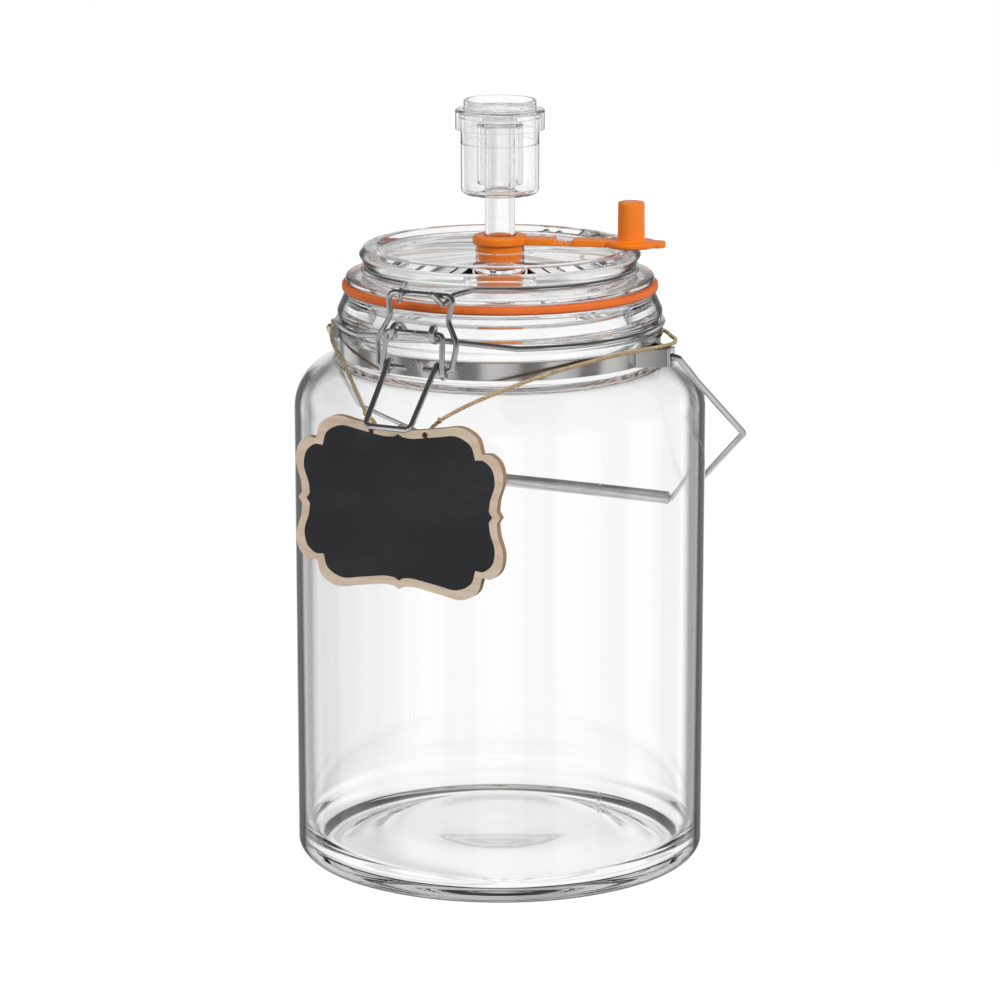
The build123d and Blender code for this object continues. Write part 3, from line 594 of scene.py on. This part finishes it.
given(makeBand(band), bandSteel, "jar", "steel", "neck_band")
for side, name in ((-1, "Left"), (1, "Right")):
    given(makeEar("ear" + name, side, ear), bandSteel, "jar", "steel", "band_ear_" + name.lower())
print("band and ears made")


# Carrying handle

handle = {"wire": 2.6, "pinStand": 2.3, "pinLength": 5.4, "bow": 2.6, "bowDrop": 17, "knuckle": 10.6,
          "knuckleDrop": 54, "gripCorner": 42.8, "length": 111.2, "gripRadius": 2.6, "gripGap": 1.5}
gripReach = jar["radius"] + 0.3 + handle["gripRadius"]
handleTurn = asin(gripReach / handle["length"])
gripHeight = handleHeight - handle["length"] * cos(handleTurn)

def makeHandle(size):
    corner = bandRadius + ear["reach"] + size["pinStand"]
    def spot(across, drop):
        return (across, drop * sin(handleTurn), handleHeight - drop * cos(handleTurn))
    route = eased([
        (spot(corner - size["pinLength"], 0), 0), (spot(corner, 0), 1.9),
        (spot(corner + size["bow"], size["bowDrop"]), 30),
        (spot(corner + size["knuckle"], size["knuckleDrop"]), 2.6),
        (spot(size["gripCorner"], size["length"]), 2), (spot(0, size["length"]), 0),
    ])
    return wire("handleWire", bothSides(route), size["wire"] / 2)

def makeGrip(size):
    # a rolled tube: thick wall, eased ends
    half = size["gripCorner"] - size["gripGap"]
    outer, inner = size["gripRadius"], size["wire"] / 2 + 0.3
    rows = [(inner, -half, 0.3), (outer, -half, 0.5), (outer, half, 0.5), (inner, half, 0.3)]
    grip = lathe("handleGrip", rows, segments=48)
    grip.data.transform(moved(0, gripReach, gripHeight) @ Matrix.Rotation(pi / 2, 4, "Y"))
    return grip

given(makeHandle(handle), wireSteel, "handle", "steel", "handle_bail")
given(makeGrip(handle), wireSteel, "grip", "steel", "handle_grip")
print("handle made")


# Clamp wires: the neck's ring, the lid's ring, the lever and the link

clamp = {
    "wire": 2.2, "play": 0.3, "eye": 2.6, "eyeBend": 2.4, "pivotReach": 10.9, "pivotDrop": 5.5,
    "hingeReach": 8.4, "hingeDrop": 0.5, "ringRise": 2, "ringEnd": 35.5, "ringRun": 4, "eyeWidth": 9.2,
    "eyePitch": 0.6, "tailDrop": 0.5,
    "barWidth": 12.5, "barStep": 2.8, "barRun": 3.5, "barBend": 2.4,
}
lever = {"split": 0.2, "barWidth": 11.6, "coilWidth": 12.6, "pitch": 0.85, "lead": 1.15, "exit": 0.54,
         "drop": 13.5, "tipWidth": 9.3, "tipReach": 22.8, "tipDrop": 18.4}
link = {"barReach": 5.4, "barRise": 8.3, "barWidth": 13.8, "waistWidth": 12, "waist": 0.334, "hipWidth": 16.6,
        "hip": 0.628, "pinWidth": 15.2, "pinEnd": 3.5}
hooks = {"rise": 2.6, "ringAngle": 18.8, "run": 3, "neckWidth": 11, "neckReach": 4.8, "neckDrop": 0.4,
         "troughWidth": 9.3, "troughDrop": 3.7, "tipWidth": 6.3, "tipReach": 5, "tipRise": 1.5,
         "tongueAngle": 167, "tongueRun": 2.6, "rootWidth": 8.6, "rootReach": 8.7, "rootDrop": 0.7,
         "tongueWidth": 8.4, "tonguePitch": 0.625, "tongueLead": 1.35}
seat = {"gap": 0.3, "gasket": 2.7, "flange": 2.7, "flangeInset": 1.9, "rimInset": 5, "channelDepth": 3.1}
lidBase = jar["height"] + seat["gap"] + seat["gasket"] + seat["gap"]
flangeTop = lidBase + seat["flange"]
channelRadius = jar["neckRadius"] - seat["flangeInset"] - seat["rimInset"] - seat["channelDepth"]
pivotY, pivotZ = -(jar["neckRadius"] + clamp["pivotReach"]), jar["height"] - clamp["pivotDrop"]
hingeY, hingeZ = jar["neckRadius"] + clamp["hingeReach"], jar["height"] - clamp["hingeDrop"]
linkPinZ = pivotZ - lever["drop"]
barY, barZ = -(jar["neckRadius"] + link["barReach"]), jar["height"] + link["barRise"]

def coil(width, pitch, y, z, shares):
    # corners of a coil round a bar along X, each a pitch further in
    return [
        ((width - pitch * step, y + clamp["eye"] * across, z + clamp["eye"] * up), clamp["eyeBend"])
        for step, (across, up) in enumerate(shares)
    ]

def makeNeckWire(size):
    radius = jar["neckRadius"] + size["play"] + size["wire"] / 2
    level = beadTop + size["ringRise"]
    eye = coil(size["eyeWidth"], size["eyePitch"], pivotY, pivotZ, [(1, -1), (-1, -1), (-1, 1), (1, 1)])
    tail = (size["eyeWidth"] - 4 * size["eyePitch"], pivotY + size["eye"], pivotZ - size["tailDrop"])
    rear = 90 + degrees(acos((size["barWidth"] + size["barRun"]) / radius))
    front = eased([
        (tail, 0), *reversed(eye), (pastRing(radius, size["ringEnd"], level, -size["ringRun"]), 20),
        (pastRing(radius, size["ringEnd"], level, 0), 0),
    ])
    ring = ringLine(radius, size["ringEnd"], rear, level)
    back = eased([
        (ring[-1], 0), (pastRing(radius, rear, level, size["barRun"]), size["barBend"]),
        ((size["barWidth"], hingeY, level + size["barStep"]), size["barBend"]),
        ((size["barWidth"], hingeY, hingeZ), size["barBend"]), ((0, hingeY, hingeZ), 0),
    ])
    return wire("neckWire", bothSides(front + ring[1:] + back[1:]), size["wire"] / 2)

def makeLidWire(size):
    radius = channelRadius + clamp["play"] + clamp["wire"] / 2
    level = flangeTop + size["rise"]
    front = eased([
        ((size["tipWidth"], barY - size["tipReach"], barZ + size["tipRise"]), 0),
        ((size["troughWidth"], barY, barZ - size["troughDrop"]), 2),
        ((size["neckWidth"], barY + size["neckReach"], barZ - size["neckDrop"]), 4),
        (pastRing(radius, size["ringAngle"], level, -size["run"]), 5),
        (pastRing(radius, size["ringAngle"], level, 0), 0),
    ])
    ring = ringLine(radius, size["ringAngle"], size["tongueAngle"], level)
    eye = coil(size["tongueWidth"], size["tonguePitch"], hingeY, hingeZ,
               [(-size["tongueLead"], 1), (1, 1), (1, -1), (-1, -1), (-1, 1)])
    back = eased([
        (ring[-1], 0), (pastRing(radius, size["tongueAngle"], level, size["tongueRun"]), 2.4),
        ((size["rootWidth"], hingeY - size["rootReach"], level - size["rootDrop"]), 2.4), *eye,
        ((0, hingeY - clamp["eye"], hingeZ + clamp["eye"]), 0),
    ])
    return wire("lidWire", bothSides(front + ring[1:] + back[1:]), clamp["wire"] / 2)

def makeLever(size):
    wound = coil(size["coilWidth"], size["pitch"], pivotY, linkPinZ,
                 [(-size["lead"], -1), (1, -1), (1, 1), (-size["exit"], 1)])
    tip = (pivotY - size["tipReach"], linkPinZ - size["tipDrop"])
    route = eased([
        ((size["split"], pivotY, pivotZ), 0), ((size["barWidth"], pivotY, pivotZ), 1.8), *wound,
        ((size["tipWidth"], *tip), 2.4), ((0, *tip), 0),
    ])
    return wire("latchLever", bothSides(route), clamp["wire"] / 2)

def makeLink(size):
    length = hypot(pivotY - barY, barZ - linkPinZ)
    lean = atan((barY - pivotY) / (barZ - linkPinZ))
    def spot(across, drop):
        return (across, barY - drop * sin(lean), barZ - drop * cos(lean))
    route = eased([
        (spot(size["pinEnd"], length), 0), (spot(size["pinWidth"], length), 2),
        (spot(size["hipWidth"], size["hip"] * length), 7),
        (spot(size["waistWidth"], size["waist"] * length), 5),
        (spot(size["barWidth"], 0), 2.6), (spot(0, 0), 0),
    ])
    return wire("latchLink", bothSides(route), clamp["wire"] / 2)

given(makeNeckWire(clamp), wireSteel, "jar", "steel", "neck_wire")
given(makeLidWire(hooks), wireSteel, "lid", "steel", "lid_wire")
given(makeLever(lever), wireSteel, "lever", "steel", "latch_lever")
given(makeLink(link), wireSteel, "link", "steel", "latch_link")
print("clamp wires made")


# Gasket and lid glass

gasket = {"overhang": 0.8, "width": 4.4, "base": 225.1, "top": 228.2}
lid = {
    "plugGap": 0.8, "plugDepth": 10.3, "plugWall": 4.7, "plugTaper": 2, "plateRise": 11.7, "plate": 4.2,
    "rimHeight": 11, "hole": 9.45, "well": 8.7, "channelTop": 8, "channelFoot": 10.4, "channelStep": 1.4,
    "rimShape": [(6.2, 0, 1.4), (2.2, 0, 1.3), (0, 3, 1.3), (1.9, 6.4, 0.8)],   # inset, drop and rounding
}

def makeGasket(size):
    outer = jar["neckRadius"] - jar["lipInset"] + size["overhang"]
    inner = outer - size["width"]
    base, top = size["base"], size["top"]
    section = [(inner, base, 0.4), (outer, base, 1.1), (outer, top, 1.1), (inner, top, 0.4)]
    return lathe("lidGasket", section, segments=200)

def makeLid(size):
    flange = jar["neckRadius"] - seat["flangeInset"]
    rim = flange - seat["rimInset"]
    top = flangeTop + size["rimHeight"]
    plateTop = lidBase + size["plateRise"]
    plateBase = plateTop - size["plate"]
    plug = jar["neckRadius"] - jar["neckWall"] - size["plugGap"]
    inner = plug - size["plugWall"] - size["plugTaper"]
    plugFoot, channelFoot = lidBase - size["plugDepth"], top - size["channelFoot"]
    rows = [
        (size["hole"], plateBase, 0.5), (size["hole"], plateTop, 0.6), (rim - size["well"], plateTop, 2.2),
        *[(rim - inset, top - drop, ease) for inset, drop, ease in size["rimShape"]],
        (channelRadius, top - size["channelTop"], 0.6), (channelRadius, channelFoot, 0.5),
        (channelRadius + size["channelStep"], channelFoot, 0.4), (flange, flangeTop, 1.1),
        (flange, lidBase, 0.9), (plug, lidBase, 0.5), (plug, plugFoot, 1.4),
        (inner + size["plugTaper"], plugFoot, 1.2),
        (inner, lidBase + 1.7, 4), (inner - 3.5, plateBase, 3),
    ]
    return lathe("lidGlass", rows, segments=240, sharpAt=60)

given(makeGasket(gasket), gasketRubber, "lid", "gasket_rubber", "lid_gasket")
given(makeLid(lid), glass, "lid", "glass", "lid_glass")
lidTop = flangeTop + lid["rimHeight"]
print("lid made")


# Silicone bung, strap and stopper

bung = {"fit": 0.1, "tipInset": 0.5, "depth": 15.6, "flange": 1.3, "flangeHeight": 3.4, "bore": 6.1}
mould = {"grain": 0.3, "passes": 3}
strap = {"angle": 17, "lift": 0.6, "pad": 8, "padHeight": 2.6, "width": 7, "thickness": 1.2,
         "rootEnd": 21.8, "split": 25.2, "cut": 0.15, "padStart": 28.6, "reach": 51, "disc": 10,
         "discHeight": 2.3, "stopper": 5.2, "height": 17.5, "tab": 13.3, "tabWidth": 7}
strapBase = lidTop + strap["lift"]
strapTurn = Matrix.Rotation(radians(strap["angle"]), 4, "Z")

def strapPiece(name, start, end, width, height, ease=0.8):
    side = width / 2
    rows = [(start, -side, ease), (end, -side, ease), (end, side, ease), (start, side, ease)]
    raised = strapTurn @ moved(0, 0, strapBase)
    return slab(name, eased(flatCorners(rows), closed=True), raised, height, bevel=0)

def makeBung(size):
    outer = lid["hole"] - size["fit"]
    tip, flange = outer - size["tipInset"], outer + size["flange"]
    foot, top = strapBase - size["depth"], strapBase + size["flangeHeight"]
    rows = [
        (size["bore"], foot, 0.5), (tip, foot, 0.8), (outer, strapBase, 0.3),
        (flange, strapBase, 1.2), (flange, top, 1.2), (size["bore"], top, 0.6),
    ]
    body = lathe("bungBody", rows, segments=96)
    root = strapPiece("bungRoot", outer - 2, strap["rootEnd"], strap["pad"], strap["padHeight"])
    end = strap["split"] - strap["cut"]
    tail = strapPiece("bungTail", strap["rootEnd"] - 1, end, strap["width"], strap["thickness"], 0.2)
    return moulded(joined("bung", [body, root, tail]), **mould)

def makeStopper(size):
    middle = strapTurn @ Vector((size["reach"], 0, 0))
    top = strapBase + size["discHeight"]
    disc = drum("stopperDisc", strapBase, top, size["disc"], middle[:2], ease=(0.9, 0.9))
    stub = drum("stopperStub", strapBase + 0.4, strapBase + size["height"], size["stopper"], middle[:2],
                taper=0.1, ease=(0, 0.7))
    pad = strapPiece("stopperPad", size["padStart"], size["reach"], size["pad"], size["padHeight"])
    start = size["split"] + size["cut"]
    neck = strapPiece("stopperNeck", start, size["padStart"] + 1, size["width"], size["thickness"], 0.2)
    end = size["reach"] + size["tab"]
    tab = strapPiece("stopperTab", size["reach"], end, size["tabWidth"], size["discHeight"], 3)
    return moulded(joined("stopper", [disc, stub, pad, neck, tab]), **mould)

given(makeBung(bung), silicone, "lid", "silicone", "stopper_grommet")
given(makeStopper(strap), silicone, "plug", "silicone", "stopper_plug")
print("bung and stopper made")


# Airlock

airlock = {"stem": 5.8, "stemWall": 1.5, "stemDepth": 18, "cupRise": 20, "cup": 15.15, "cupHeight": 31.5,
           "wall": 1.3, "corner": 2.4, "bead": 0.6, "beadHeight": 1.8, "headroom": 5, "floatGap": 1.65,
           "floatWall": 1.3, "roof": 1.2, "baseGap": 2.7, "mark": 12, "markHeight": 0.35, "markDepth": 0.18}
cap = {"play": 0.3, "skirtWall": 1.2, "skirtDrop": 6.8, "disc": 1.2, "collar": 14, "collarWall": 1.2,
       "collarHeight": 3.5, "vents": 4, "vent": 1, "ventRing": 9.6}
cupBase = lidTop + airlock["cupRise"]
cupTop = cupBase + airlock["cupHeight"]
tubeTop = cupTop - airlock["headroom"]

def makeCup(size):
    stem, bore = size["stem"], size["stem"] - size["stemWall"]
    foot = lidBase + lid["plateRise"] - size["stemDepth"]
    cup, inner = size["cup"], size["cup"] - size["wall"]
    mark, proud = cupTop - size["mark"], size["cup"] + size["markDepth"]
    markTop = mark + size["markHeight"]
    bead, beadBase = cup + size["bead"], cupTop - size["beadHeight"]
    floor = cupBase + size["wall"]
    rows = [
        (bore, foot, 0.3), (stem - 0.2, foot, 0.4), (stem, cupBase, 0.8), (cup, cupBase, size["corner"]),
        (cup, mark, 0.1), (proud, mark + 0.1, 0.1), (proud, markTop, 0.1), (cup, markTop + 0.1, 0.1),
        (cup, beadBase, 0.2), (bead, beadBase, 0.3), (bead, cupTop, 0.4), (inner, cupTop, 0.4),
        (inner, floor, size["corner"] - 0.8), (stem, floor, 0.9), (stem - 0.1, tubeTop, 0.4),
        (bore, tubeTop, 0.4),
    ]
    return lathe("airlockCup", rows, segments=128, sharpAt=50)

def makeFloat(size):
    outer = size["stem"] + size["floatGap"] + size["floatWall"]
    inner = outer - size["floatWall"]
    base = cupBase + size["wall"] + size["baseGap"]
    roof, top = tubeTop + cap["play"], tubeTop + cap["play"] + size["roof"]
    rows = [(0, roof), (inner, roof, 0.8), (inner, base, 0.3), (outer, base, 0.3), (outer, top, 1.1), (0, top)]
    thimble = lathe("airlockFloat", rows, segments=96, sharpAt=50)
    notches = []
    for step in range(2):
        turn = Matrix.Rotation(radians(45 + 90 * step), 4, "Z") @ moved(0, 0, base - 1)
        notches.append(slab("notch", [(-12, -1), (12, -1), (12, 1), (-12, 1)], turn, 2.5, bevel=0))
    return cutBy(thimble, notches)

def makeCap(size):
    base = cupTop + size["play"]
    outer = airlock["cup"] + airlock["bead"] + size["play"] + size["skirtWall"]
    inner, foot = outer - size["skirtWall"], base - size["skirtDrop"]
    top, ring = base + size["disc"], size["collar"]
    collarTop, collarInner = top + size["collarHeight"], ring - size["collarWall"]
    rows = [
        (0, base), (inner, base, 0.3), (inner, foot, 0.3), (outer, foot, 0.4), (outer, top, 1.0),
        (ring, top, 0.4), (ring, collarTop, 0.4), (collarInner, collarTop, 0.4),
        (collarInner, top, 0.4), (0, top),
    ]
    piece = lathe("airlockCap", rows, segments=128, sharpAt=50)
    return cutBy(piece, [
        drum("ventDrill", base - 2, top + 2, size["vent"], centre, segments=24)
        for centre in circle(size["ventRing"], count=size["vents"])
    ])

given(makeCup(airlock), plastic, "airlock", "airlock_plastic", "airlock_cup")
given(makeFloat(airlock), plastic, "float", "airlock_plastic", "airlock_float")
given(makeCap(cap), plastic, "cap", "airlock_plastic", "airlock_cap")
print("airlock made")


# Label

board = {
    "width": 87, "height": 65.6, "thickness": 3, "middle": -1, "rise": 155.1, "gap": 1.5, "faceDepth": 0.6,
    "facePlay": 0.2, "border": 3.6, "hole": 1.25, "holeSpread": 22.5, "holeDrop": 4.3,
    "topCurve": [(0.05, 0.92), (0.16, 0.915), (0.4, 0.965), (0.6, 1.0), (0.75, 0.9), (0.8, 0.716)],
    "sideCurve": [(0.8, 0.716), (0.89, 0.715), (0.975, 0.61), (1.0, 0.42), (0.953, 0.21), (0.94, 0.07)],
    "topPoint": 0.957, "sidePoint": 0.975,
}
boardBack = jar["radius"] + board["gap"]
faceBack = boardBack + board["thickness"] - board["faceDepth"]

def plaqueOutline(width, height):
    scale = Vector((width / 2, height / 2))
    def sized(points):
        return [Vector(point) * scale for point in points]
    curves = [[Vector(spot) for spot in smooth(sized(board[side]), 8)] for side in ("topCurve", "sideCurve")]
    quarter = sized([(0, board["topPoint"])]) + curves[0] + curves[1][1:]
    quarter += sized([(board["sidePoint"], 0)])
    def flipped(points, across, up):
        return [Vector((spot.x * across, spot.y * up)) for spot in points]
    loop = quarter + list(reversed(flipped(quarter, 1, -1)))[1:] + flipped(quarter, -1, -1)[1:]
    loop += list(reversed(flipped(quarter, -1, 1)))[1:-1]
    return list(reversed(loop))

def labelPlace(depth):
    # outlines are drawn facing the front, on a plane that many millimetres from the jar's axis
    return moved(board["middle"], -depth, board["rise"]) @ standing

def plaque(name, inset, depth, thickness, bevel=0):
    outline = plaqueOutline(board["width"] - inset, board["height"] - inset)
    return slab(name, outline, labelPlace(depth), thickness, bevel=bevel)

def makeBoard(size):
    rest = plaque("labelBoard", 0, boardBack, size["thickness"])
    tools = [plaque("bedCutter", 2 * size["border"] - size["facePlay"], faceBack, size["thickness"])]
    for side in (-1, 1):
        centre = (side * size["holeSpread"] / 2, size["height"] / 2 - size["holeDrop"])
        tools.append(slab("holeCutter", circle(size["hole"], centre), labelPlace(boardBack - 2), 8, bevel=0))
    return cutBy(rest, tools)

def makeFace(size):
    return plaque("labelFace", 2 * size["border"], faceBack, size["faceDepth"], 0.12)

labelBoard = given(makeBoard(board), plywood, "label", "plywood", "label_board")
labelBoard.data.materials.append(cutEdge)
for face in labelBoard.data.polygons:
    face.material_index = 1 if abs(face.normal.y) < 0.5 else 0
soften(labelBoard, 0.12, 2, 50)
given(makeFace(board), slate, "label", "slate_face", "label_face")
print("label made")


# Twine

twine = {
    "diameter": 1.6, "strands": 3, "lay": 5.2, "strandShare": 0.56, "sample": 0.5,
    "points": [
        (15.5, -79.6, 189.7), (20.1, -75.9, 192.9), (29.4, -66.6, 197.6), (39.9, -55.1, 202.2),
        (51.4, -40.4, 206.0), (61.9, -23.0, 208.2), (69.4, -10.0, 208.9), (73.4, 1.2, 209.0),
        (69.2, 12.0, 208.8), (62.2, 23.6, 207.2), (52.2, 40.6, 206.0), (33.1, 57.5, 205.6),
        (7.8, 66.0, 205.8), (-19.3, 63.4, 205.6), (-43.0, 50.4, 206.0), (-59.8, 30.2, 207.6),
        (-66.6, 9.6, 209.1), (-66.8, -9.4, 209.0), (-60.2, -26.6, 207.4), (-51.0, -42.0, 205.6),
        (-40.4, -53.6, 202.8), (-31.0, -65.0, 197.6), (-22.2, -74.4, 192.6), (-17.5, -79.5, 189.7),
    ],
    "fibres": 220, "fibre": [0.035, 0.03, 0.012], "seed": 7, "tieSpread": 31, "tieRise": 33.9, "backGap": 0.25,
    "wraps": 48, "wrapTurn": 22, "wrapWidth": 0.9, "wrapRadius": 0.75, "wrapThick": 0.42,
}

def smoothRoute(name, points):
    # the route's own NURBS line, read back as points in millimetres
    data = bpy.data.curves.new(name, "CURVE")
    data.dimensions = "3D"
    spline = data.splines.new("NURBS")
    spline.points.add(len(points) - 1)
    for spot, point in zip(spline.points, points):
        spot.co = (*(value * mm for value in point), 1)
    spline.order_u = 3
    spline.use_endpoint_u = True
    spline.resolution_u = 24
    holder = shown(name, data)
    bpy.context.view_layer.update()
    line = bpy.data.meshes.new_from_object(holder)
    spots = [vertex.co / mm for vertex in line.vertices]
    bpy.data.objects.remove(holder)
    bpy.data.meshes.remove(line)
    return spots

def evenly(points, gap):
    # the same line with its points a gap apart
    line, carried = [points[0].copy()], 0.0
    for start, end in zip(points, points[1:]):
        run = (end - start).length
        while carried + run >= gap:
            share = (gap - carried) / run
            start = start.lerp(end, share)
            line.append(start.copy())
            run = (end - start).length
            carried = 0.0
        carried += run
    return line + [points[-1].copy()]

def layStrands(mesh, points, size):
    # strands wound round the line, each a thin tube
    thick = size["diameter"] / 2 * size["strandShare"]
    offset = size["diameter"] / 2 - thick
    travelled, turns = 0.0, []
    for index, spot in enumerate(points):
        travelled += (spot - points[max(index - 1, 0)]).length
        turns.append(2 * pi * travelled / size["lay"])
    frames = framesAlong(points)
    for strand in range(size["strands"]):
        phase = 2 * pi * strand / size["strands"]
        centre = [
            spot + (side * cos(turn + phase) + up * sin(turn + phase)) * offset
            for (spot, side, up), turn in zip(frames, turns)
        ]
        sweptTube(mesh, centre, thick, 8)

def addFuzz(mesh, points, size):
    # loose fibres that stand off the twine
    chance = random.Random(size["seed"])
    frames = framesAlong(points)
    for number in range(size["fibres"]):
        spot, side, up = frames[chance.randrange(2, len(frames) - 2)]
        turn = chance.uniform(0, 2 * pi)
        out = side * cos(turn) + up * sin(turn)
        along = side.cross(up) * chance.choice((-1, 1))
        start = spot + out * size["diameter"] * 0.4
        reach = chance.uniform(0.5, 1.3)
        middle = start + along * reach * 0.5 + out * reach * 0.12
        sweptTube(mesh, [start, middle, start + along * reach + out * reach * 0.35], size["fibre"], 3)

twineLine = evenly(smoothRoute("twineRoute", twine["points"]), twine["sample"])
twineMesh = bmesh.new()
layStrands(twineMesh, twineLine, twine)
twinePiece = given(pieceFrom("neckTwine", twineMesh, 60), jute, "jar", "twine", "twine")
twineLength = sum((end - start).length for start, end in zip(twineLine, twineLine[1:]))
fuzzMesh = bmesh.new()
addFuzz(fuzzMesh, twineLine, twine)
fuzz = given(pieceFrom("twineFuzz", fuzzMesh, 60), jute, "jar", "twine")

def makeTies(size):
    mesh = bmesh.new()
    reach = boardBack - size["diameter"] / 2 - size["backGap"]
    holeZ = board["rise"] + board["height"] / 2 - board["holeDrop"]
    for side in (-1, 1):
        knot = Vector((board["middle"] + side * size["tieSpread"] / 2, -reach, board["rise"] + size["tieRise"]))
        hole = board["middle"] + side * board["holeSpread"] / 2
        rows = [
            (tuple(knot), 0), ((hole + side * 0.6, -reach, holeZ + 2.2), 1.2),
            ((hole, -reach - 1.3, holeZ), 1.2), ((hole, -boardBack - 1.5, holeZ), 0),
        ]
        layStrands(mesh, evenly(eased(rows), size["sample"]), size)
        # a little over two turns round the line that the label swings on
        wraps, ring = [], size["wrapRadius"]
        for step in range(size["wraps"] + 1):
            turn = 2 * pi * step / size["wrapTurn"]
            across = side * size["wrapWidth"] * (1 - 2 * step / size["wraps"])
            wraps.append(knot + Vector((across, ring * cos(turn), ring * sin(turn))))
        sweptTube(mesh, wraps, size["wrapThick"], 8)
    return pieceFrom("labelTies", mesh, 60)

given(makeTies(twine), jute, "label", "twine", "twine_ties")
[list(spot * mm) for spot in twineLine]
print("twine made,", round(twineLength, 1), "mm")


# Studio: floor, world, lamps and camera

studio = {
    "fill": 0.28, "floorReach": 30, "floorDrop": 0.0002, "floorShade": 0.3, "floorSeen": 0.9,
    "flags": 8, "flagEdge": (0.0, 0.6), "flagFoot": (-0.5, -0.35),
    "flagsThrough": 0.15, "flagsMirrored": 0.7, "dim": 0.22, "dimEdge": (0.2, 0.8),
    "ceiling": (0.0, 0.4, 0.0, 0.9), "ceilingThrough": 0.55,
    "lamps": {"keyLamp": ((1.6, -0.6, 1.3), (0.9, 0.9), 34), "sideLamp": ((-1.1, -1.4, 1.2), (1.2, 1.2), 15)},
    "lampAim": (0, 0, 0.15),
    "cameraTurn": 26, "cameraTilt": 12.7, "cameraReach": 1.69, "cameraAim": 0.141, "lens": 155.5,
}

def makeFloor(size):
    # the camera sees this floor; glass and steel see the world behind it
    mesh = bmesh.new()
    bmesh.ops.create_grid(mesh, x_segments=2, y_segments=2, size=size["floorReach"])
    bmesh.ops.translate(mesh, verts=mesh.verts, vec=(0, 0, -size["floorDrop"]))
    floor = pieceFrom("floor", mesh)
    floor.visible_transmission = floor.visible_glossy = False
    sheet = sheetOf("paleFloor")
    camera = sheet.add("ShaderNodeLightPath", take="Is Camera Ray")
    paint = sheet.add("ShaderNodeBsdfDiffuse", {}, {"Color": (size["floorShade"],) * 3})
    glow = sheet.add("ShaderNodeEmission", {}, {"Color": (1, 1, 1), "Strength": camera * size["floorSeen"]})
    floor.data.materials.append(sheet.surface(sheet.add("ShaderNodeAddShader", {}, {0: paint, 1: glow})))

def makeWorld(size):
    # white all round for the camera; glass and steel also see upright dark flags and a darker ceiling
    world = bpy.data.worlds.new("studio")
    bpy.context.scene.world = world
    sheet = Sheet(world)
    kinds = ("Camera", "Glossy", "Transmission")
    camera, glossy, through = [sheet.add("ShaderNodeLightPath", take="Is %s Ray" % kind) for kind in kinds]
    x, y, z = sheet.axes(sheet.add("ShaderNodeTexCoord", take="Generated"))
    turn = x.calc("ARCTAN2", y, x)
    wave = turn * size["flags"] - radians(size["flags"] * (90 + size["cameraTurn"]) + 180)
    comb, lean = wave.calc("COSINE", wave), wave.calc("SINE", wave)
    flags = sheet.spread(comb, *size["flagEdge"]) * sheet.spread(z, *size["flagFoot"])
    grey = sheet.spread(lean * -1, *size["dimEdge"]) * size["dim"]
    mirrored = glossy * (1 - through)
    flags = flags * (through * size["flagsThrough"] + mirrored * size["flagsMirrored"])
    ceiling = sheet.spread(z, *size["ceiling"]) * (through * size["ceilingThrough"] + mirrored)
    dark = flags.calc("MAXIMUM", flags, ceiling)
    level = (1 - dark) * (1 - grey)
    seen = (glossy + through).calc("MINIMUM", glossy + through, 1.0) * (1 - camera)
    strength = camera + seen * level + (1 - camera) * (1 - seen) * size["fill"]
    glow = sheet.add("ShaderNodeBackground", {}, {"Color": (1, 1, 1), "Strength": strength})
    sheet.surface(glow, "ShaderNodeOutputWorld")

def addLamp(name, aim, place, size, power):
    lamp = bpy.data.lights.new(name, "AREA")
    lamp.shape = "RECTANGLE"
    lamp.size, lamp.size_y, lamp.energy = size[0], size[1], power
    holder = shown(name, lamp)
    holder.location = place
    holder.visible_glossy = holder.visible_transmission = False
    holder.rotation_euler = (Vector(aim) - Vector(place)).to_track_quat("-Z", "Y").to_euler()

def makeCamera(size):
    turn, tilt = radians(size["cameraTurn"]), radians(size["cameraTilt"])
    back = Vector((sin(turn) * cos(tilt), -cos(turn) * cos(tilt), sin(tilt)))
    lens = bpy.data.cameras.new("camera")
    lens.lens, lens.sensor_width = size["lens"], 36
    lens.clip_end = 100
    camera = shown("camera", lens)
    camera.location = Vector((0, 0, size["cameraAim"])) + back * size["cameraReach"]
    camera.rotation_euler = (-back).to_track_quat("-Z", "Y").to_euler()
    bpy.context.scene.camera = camera

makeFloor(studio)
makeWorld(studio)
for name, lamp in studio["lamps"].items():
    addLamp(name, studio["lampAim"], *lamp)
makeCamera(studio)
scene = bpy.context.scene
scene.view_settings.view_transform = "Standard"
scene.cycles.glossy_bounces, scene.cycles.transmission_bounces, scene.cycles.max_bounces = 12, 16, 20
print("studio made")
